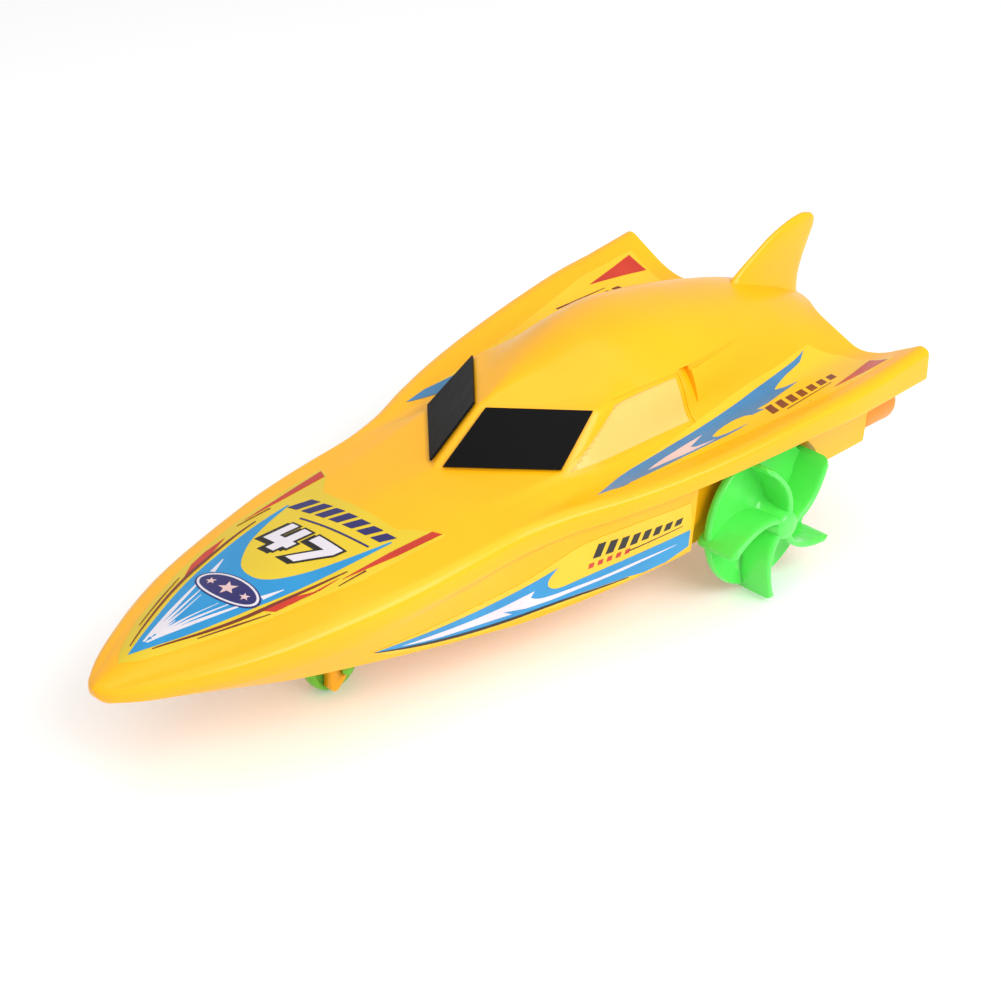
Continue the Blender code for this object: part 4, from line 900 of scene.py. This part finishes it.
def side_films(side, word):
    film("side_film_" + word, [
        [(149.8, -25.9)]
        + curve([(140.7, -25.5), (127.3, -24.8), (111.2, -23.6), (103.7, -21.6), (95.0, -18.8), (83.7, -17.4),
                 (68.4, -17.4)], 3)
        + [(67.4, -23.0), (67.4, -29.6), (74.0, -31.0), (84.0, -31.9), (102.0, -32.6), (122.0, -32.1),
           (134.0, -30.5), (145.0, -28.2)],
    ], 0, FILM_LEMON, side, nodes=["side_decal_" + word])
    film("side_blue_" + word, [
        [(148.5, -26.1)]
        + curve([(141.1, -26.1), (132.0, -26.2), (123.3, -25.9), (113.3, -25.2), (107.4, -24.3),
                 (102.0, -22.9)], 3)
        + curve([(103.6, -24.4), (104.4, -25.7), (104.0, -27.1), (101.6, -28.0), (96.0, -27.4), (87.7, -26.2),
                 (77.8, -25.3), (67.6, -24.7)], 3)
        + [(67.6, -29.0), (73.9, -30.9), (80.0, -31.3)]
        + curve([(84.3, -30.9), (92.0, -31.0), (101.6, -31.2), (111.0, -31.4), (122.8, -30.8), (131.5, -29.6),
                 (140.2, -28.0)], 3),
    ], 1, FILM_BLUE, side)
    film("side_streak_" + word, [
        curve([(142.0, -27.1), (134.2, -27.5), (126.0, -27.8), (116.1, -27.6), (107.8, -26.7)], 3)
        + curve([(108.8, -28.0), (106.4, -29.0), (101.6, -29.2), (92.1, -28.6), (82.7, -27.6),
                 (70.2, -27.1)], 3)
        + curve([(82.6, -28.3), (92.1, -29.3), (101.6, -30.2), (106.3, -30.3), (110.0, -30.2)], 3)
        + [(116.0, -29.0), (113.6, -30.3)]
        + curve([(122.9, -29.6), (131.6, -28.9), (137.0, -28.1)], 3),
    ], 2, FILM_WHITE, side)
    shadow = curve([(148.6, -26.2), (140.2, -28.2), (130.5, -30.0), (120.7, -31.1), (111.0, -31.6),
                    (101.5, -31.5), (92.0, -31.3), (84.0, -31.1)], 3)
    film("side_shadow_" + word, [stroke(shadow, (0.1, 0.6, 0.7, 0.7, 0.6, 0.4, 0.15))], 2, FILM_BLACK, side)
    film("side_bars_" + word, bars((93.6, -23.2), (69.6, -21.9), 8, (3.4, 1.5), (-0.35, 1.0), 0.62)
         + [stroke([(85.0, -24.0), (70.0, -22.8)], (0.35, 0.15))], 1, FILM_BLACK, side)
    film("side_squares_" + word, bars((94.6, -25.5), (83.6, -24.4), 5, (1.2, 1.2), (-0.2, 1.0), 0.55), 1,
         FILM_RED, side)


foredeck_films()
for boat_side, side_word in SIDES:
    deck_films(boat_side, side_word)
    side_films(boat_side, side_word)
    # The pale sheet over each window recess is painted sheen.
    film("side_window_" + side_word, [grow(WINDOW, -0.25)], -1, YELLOW_SHEEN, boat_side, tree=CUT_TREE,
         slot="yellow_plastic")


# ---------- rounded mouldings
def turned(name, centre, axis, profile, segments):
    """Lathe work: profile is (distance along the axis, radius), both in mm."""
    rings = []
    for along, radius in profile:
        ring = []
        for k in range(segments):
            angle = 2 * math.pi * k / segments
            c, s = radius * math.cos(angle), radius * math.sin(angle)
            if axis == "Y":
                ring.append(place((centre[0] + c, centre[1] + along, centre[2] + s)))
            else:
                ring.append(place((centre[0] + along, centre[1] + c, centre[2] + s)))
        rings.append(ring)
    return ring_solid(name, rings)


def pillow(name, outline, half, edge):
    """Outline in station and height, extruded across the boat with rounded edges."""
    rings = []
    for step in (0, 1, 2, 3, 5, 6, 7, 8):
        turn = math.radians(-90 + 180 * step / 8)
        y = (half - edge) * (1 if step > 4 else -1) + edge * math.sin(turn)
        inset = edge * (1 - math.cos(turn))
        rings.append([place((x, y, z)) for x, z in grow(outline, -inset)])
    return ring_solid(name, rings, 50.0)


def build_fin():
    """Swept fin of airfoil section, flaring into the cabin's tail."""
    ahead = curve([(15.6, 4.6), (12.6, 7.1), (6.0, 10.7), (1.0, 13.2), (-5.2, 15.1), (-10.0, 15.7),
                   (-12.6, 15.2)], 8)
    behind = curve([(-9.0, -4.0), (-9.6, 0.6), (-11.0, 4.6), (-12.9, 8.6), (-14.2, 11.4), (-14.4, 13.4),
                    (-13.4, 14.9)], 8)
    half = ((0.0, 3.3), (0.05, 2.6), (0.10, 2.05), (0.17, 1.65), (0.3, 1.4), (0.6, 1.2), (0.9, 0.95),
            (1.0, 0.35))
    rings = []
    last = len(ahead) - 1
    for k, (front, rear) in enumerate(zip(ahead, behind)):
        middle = (Vector(front) + Vector(rear)) / 2
        reach = (Vector(front) - Vector(rear)) / 2
        thick = smooth_value(half, k / last)
        ring = []
        for step in range(36):
            angle = 2 * math.pi * step / 36
            at = middle + reach * math.cos(angle)
            side = math.copysign(abs(math.sin(angle)) ** 0.8, math.sin(angle))
            ring.append(place((at.x, thick * side, at.y)))
        rings.append(ring)
    fin = new_object("fin", ring_solid("fin", rings, 60.0))
    keep(fin, YELLOW, "hull", "yellow_plastic", "tail_fin")


def build_pods():
    for side, word in SIDES:
        profile = [(10.4, 4.6), (10.0, 5.2), (9.2, 5.6), (1.0, 5.7)]
        for step in range(1, 8):
            turn = math.radians(90 * step / 7)
            profile.append((1.0 - 2.2 * math.sin(turn), 3.5 + 2.2 * math.cos(turn)))
        profile += [(-1.1, 3.1), (-0.6, 2.8), (-0.5, 0.4)]
        pod = new_object("pod_" + word, turned("pod_" + word, (0.0, side * 33.6, -16.8), "X", profile, 48))
        # The pods' orange is painted shade.
        keep(pod, POD_SHADE_ORANGE, "hull", "orange_plastic", "stern_pod_" + word)


BLADES = 5
BLADE_TIP = 18.2
BLADE_FIRST = -5.0      # degrees from ahead, towards up
BLADE_BEND = 46.0
BLADE_STEPS = 12
HUB_RADIUS = 2.0
WHEEL_INNER_Y = 32.7
WHEEL_OUTER_Y = 44.0


def blade_ring(first, y, tip, half):
    """Section of a curved blade at one distance from the centre line; its tip is rounded."""
    rows = {1: [], -1: []}
    for step in range(BLADE_STEPS + 1):
        t = step / BLADE_STEPS
        radius = HUB_RADIUS + (BLADE_TIP - HUB_RADIUS) * t
        angle = math.radians(first + BLADE_BEND * (1 - t) ** 1.3)
        radius = min(radius, tip - 0.02 * (BLADE_STEPS - step))
        thick = half * math.sqrt(max(1 - max(t - 0.93, 0) ** 2 / 0.0064, 0.2)) / radius
        for sign, row in rows.items():
            row.append(place((AXLE_STATION + radius * math.cos(angle + sign * thick), y,
                              AXLE_HEIGHT + radius * math.sin(angle + sign * thick))))
    return rows[-1] + rows[1][::-1]


def build_wheel(side, word):
    axle = (AXLE_STATION, 0.0, AXLE_HEIGHT)
    profile = [(34.6, 3.0), (34.5, 9.0), (34.1, 14.0), (33.9, 16.4), (34.2, 17.2), (34.9, 17.5), (35.6, 17.4),
               (36.1, 16.9), (36.0, 16.2), (35.8, 14.0), (36.2, 9.0), (36.6, 5.2), (37.6, 4.0), (40.0, 3.5),
               (43.6, 3.3), (44.2, 3.0), (44.6, 2.3), (44.7, 0.5)]
    wheel = new_object("paddle_" + word, turned("wheel", axle, "Y", [(side * y, r) for y, r in profile], 96))
    core = [(WHEEL_INNER_Y, 0.5), (WHEEL_INNER_Y, 3.4), (34.8, 3.4), (36.0, 2.0), (36.0, 0.5)]
    boolean(wheel, turned("core", axle, "Y", [(side * y, r) for y, r in core], 48), "UNION")
    # Across the blade: distance from the centre line, radius of the tip, half thickness.
    layers = ((WHEEL_INNER_Y, 17.6, 0.55), (33.2, 18.0, 0.85), (34.2, BLADE_TIP, 0.95),
              (42.4, BLADE_TIP, 0.85), (43.1, 18.0, 0.82), (43.6, 17.6, 0.7), (43.9, 17.0, 0.5),
              (WHEEL_OUTER_Y, 16.6, 0.28))
    for blade in range(BLADES):
        first = BLADE_FIRST - 360.0 * blade / BLADES
        rings = [blade_ring(first, side * y, tip, half) for y, tip, half in layers]
        boolean(wheel, ring_solid("blade", rings, 50.0), "UNION")
    smooth(wheel.data, 42.0)
    keep(wheel, GREEN, "paddle_drive", "paddle_green_plastic", "paddle_wheel_" + word)


BOW_WHEEL_STATION = 140.9
BOW_WHEEL_RADIUS = 7.0
BOW_AXIS = (BOW_WHEEL_STATION, 0.0, BOW_WHEEL_RADIUS - RIM_HEIGHT)
BOW_BORE = 1.2
KEEL_FRONT = -32.6            # height of the hull's bottom at the fork's two ends
KEEL_REAR = -35.4
FORK_FRONT = 4.0              # these five are from the roller's axis
FORK_REAR = -9.4
FORK_BLOCK = (-10.5, -6.9)
FORK_NOTCH = (-7.5, -3.4)
FORK_SLOT_FRONT = 12
FORK_HALF_WIDTH = 4.9
FORK_BLOCK_HALF = 2.4
FORK_PLATE = 1.3
FORK_SLOT_HALF = 2.3
FORK_SLOT_TOP = -34.4
FORK_BELOW = -60.0            # lower than the floor


def build_bow_wheel():
    profile = [(-1.5, 1.2), (-1.5, 5.2), (-1.8, 5.5), (-1.95, 5.9)]
    for step in range(13):
        turn = math.radians(-90 + 15 * step)
        profile.append((1.98 * math.sin(turn), 6.0 + 1.0 * max(math.cos(turn), 0.0) ** 0.8))
    profile += [(1.95, 5.9), (1.8, 5.5), (1.5, 5.2), (1.5, 1.2)]
    wheel = new_object("bow_roller", turned("bow_roller", BOW_AXIS, "Y", profile, 72))
    boolean(wheel, turned("bore", BOW_AXIS, "Y", [(-5.0, BOW_BORE), (5.0, BOW_BORE)], 32))
    keep(wheel, BOW_GREEN, "bow_roller", "bow_green_plastic", "bow_wheel")


def build_fork():
    """Raked legs around the roller's pin, open beside the roller, with a block behind it."""
    ahead_of = BOW_AXIS[0]
    height = BOW_AXIS[2]

    def arc(ahead, above, radius, start, end, steps):
        for step in range(steps + 1):
            angle = math.radians(start + (end - start) * step / steps)
            yield ahead_of + ahead + radius * math.cos(angle), height + above + radius * math.sin(angle)

    outline = [(ahead_of + FORK_FRONT, KEEL_FRONT), (ahead_of + FORK_REAR, KEEL_REAR)]
    outline += arc(-8.2, -1.6, 1.2, 180, 215, 4)
    outline += arc(-8.0, -3.4, 0.5, 215, 360, 8)
    outline += [(ahead_of + FORK_NOTCH[0], KEEL_REAR - 0.9), (ahead_of + FORK_NOTCH[1], KEEL_REAR - 0.3)]
    outline += arc(0.0, 0.0, 2.1, 195, 226, 5)
    outline += arc(2.6, -3.5, 1.4, 226, 360, 12)
    fork = new_object("fork", pillow("fork", outline, FORK_HALF_WIDTH, 0.45))
    boolean(fork, box_mesh("slot", (ahead_of + FORK_NOTCH[0], -FORK_SLOT_HALF, FORK_BELOW),
                           (ahead_of + FORK_SLOT_FRONT, FORK_SLOT_HALF, FORK_SLOT_TOP)))
    rear, front = [ahead_of + reach for reach in FORK_BLOCK]
    for low, high in ((FORK_BLOCK_HALF, 9.0), (-9.0, -FORK_BLOCK_HALF)):
        boolean(fork, box_mesh("beside", (rear, low, FORK_BELOW), (front, high, KEEL_REAR - FORK_PLATE)))
    boolean(fork, turned("bore", BOW_AXIS, "Y", [(-9.0, BOW_BORE), (9.0, BOW_BORE)], 32))
    keep(fork, YELLOW, "hull", "yellow_plastic", "bow_fork")


def build_bow_axle():
    head = [(5.15, 0.9), (5.15, 1.3), (5.3, 1.4), (5.6, 1.4), (6.0, 1.32), (6.35, 1.05), (6.55, 0.6),
            (6.6, 0.15)]
    profile = [(-y, radius) for y, radius in reversed(head)] + head
    pin = new_object("bow_axle", turned("bow_axle", BOW_AXIS, "Y", profile, 40))
    keep(pin, BOW_GREEN, "hull", "bow_green_plastic", "bow_wheel_pin")


build_fin()
build_pods()
build_bow_wheel()
build_fork()
build_bow_axle()
for boat_side, side_word in SIDES:
    build_wheel(boat_side, side_word)


# ---------- carried over pieces
CARRIED = (
    (YELLOW, ("hull_shell", "battery_hatch")),
    (PANE, ("windscreen_port", "windscreen_starboard")),
    (BLACK, ("motor_cradle", "switch_body", "switch_knob")),
    (NYLON, ("axle_gear", "motor_pinion", "axle_bush_port", "axle_bush_starboard")),
    (STEEL, ("paddle_axle", "motor_shaft", "motor", "contact_negative", "contact_positive", "hatch_screw",
             "deck_screw_front_port", "deck_screw_front_starboard", "deck_screw_rear_port",
             "deck_screw_rear_starboard")),
    (CELL, ("battery",)),
    (WIRE_RED, ("wire_switch_motor", "wire_switch_cell")),
    (WIRE_BLACK, ("wire_cell_motor",)),
)
for carried_material, node_names in CARRIED:
    for node_name in node_names:
        paint(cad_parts[node_name], carried_material)


# ---------- floor, light and camera
FLOOR_HALF = 3.0
FLOOR_DROP = 0.0002           # clear of the wheels, against flicker
FLOOR_GLOW = 0.155
FLOOR_TONES = ((0.86, 0.86, 0.86, 1.0), (0.88, 0.88, 0.88, 1.0))
WHITE = (1.0, 1.0, 1.0, 1.0)
STUDIO_GLOW = 0.62
LENS = 93.56
CAMERA_AT = (0.34741, 0.35883, 0.31034)
CAMERA_AIM = (-0.02976, -0.02697, 0.00425)


def stage():
    bm = bmesh.new()
    bmesh.ops.create_grid(bm, x_segments=2, y_segments=2, size=FLOOR_HALF)
    floor = new_object("floor", finish_mesh(bm, "floor"))
    floor.location = (0.0, 0.0, -FLOOR_DROP)
    nodes = Nodes("floor_white")
    tone = nodes.remap(nodes.noise(2.0, 2.0), 0.0, 1.0)
    nodes.link(nodes.mix(tone, *FLOOR_TONES), nodes.shader.inputs["Base Color"])
    fill(nodes.shader, {"Roughness": 0.35, "Emission Color": WHITE, "Emission Strength": FLOOR_GLOW})
    paint(floor, nodes.material)


def look_at(thing, target):
    thing.rotation_euler = (Vector(target) - thing.location).to_track_quat("-Z", "Y").to_euler()


def area_light(name, location, target, size, power):
    data = bpy.data.lights.new(name, "AREA")
    data.shape = "RECTANGLE"
    data.size, data.size_y = size
    data.energy = power
    lamp = bpy.data.objects.new(name, data)
    bpy.context.scene.collection.objects.link(lamp)
    lamp.location = location
    look_at(lamp, target)


def lights_and_camera():
    scene = bpy.context.scene
    world = bpy.data.worlds.new("studio")
    world.use_nodes = True
    fill(world.node_tree.nodes["Background"], {"Color": WHITE, "Strength": STUDIO_GLOW})
    scene.world = world
    area_light("top_softbox", (0.0, 0.15, 0.9), (0.0, 0.0, 0.0), (0.8, 0.8), 2.6)
    area_light("port_softbox", (0.0, 0.75, 0.65), (0.0, 0.0, 0.02), (0.8, 0.5), 7.0)
    area_light("bow_softbox", (0.8, 0.5, 0.5), (0.05, 0.0, 0.02), (0.5, 0.5), 0.6)
    camera = bpy.data.objects.new("camera", bpy.data.cameras.new("camera"))
    scene.collection.objects.link(camera)
    camera.data.lens = LENS
    camera.data.sensor_width = 36.0
    camera.data.clip_start = 0.01
    camera.location = CAMERA_AT
    look_at(camera, CAMERA_AIM)
    scene.camera = camera
    scene.view_settings.view_transform = "Standard"


stage()
lights_and_camera()
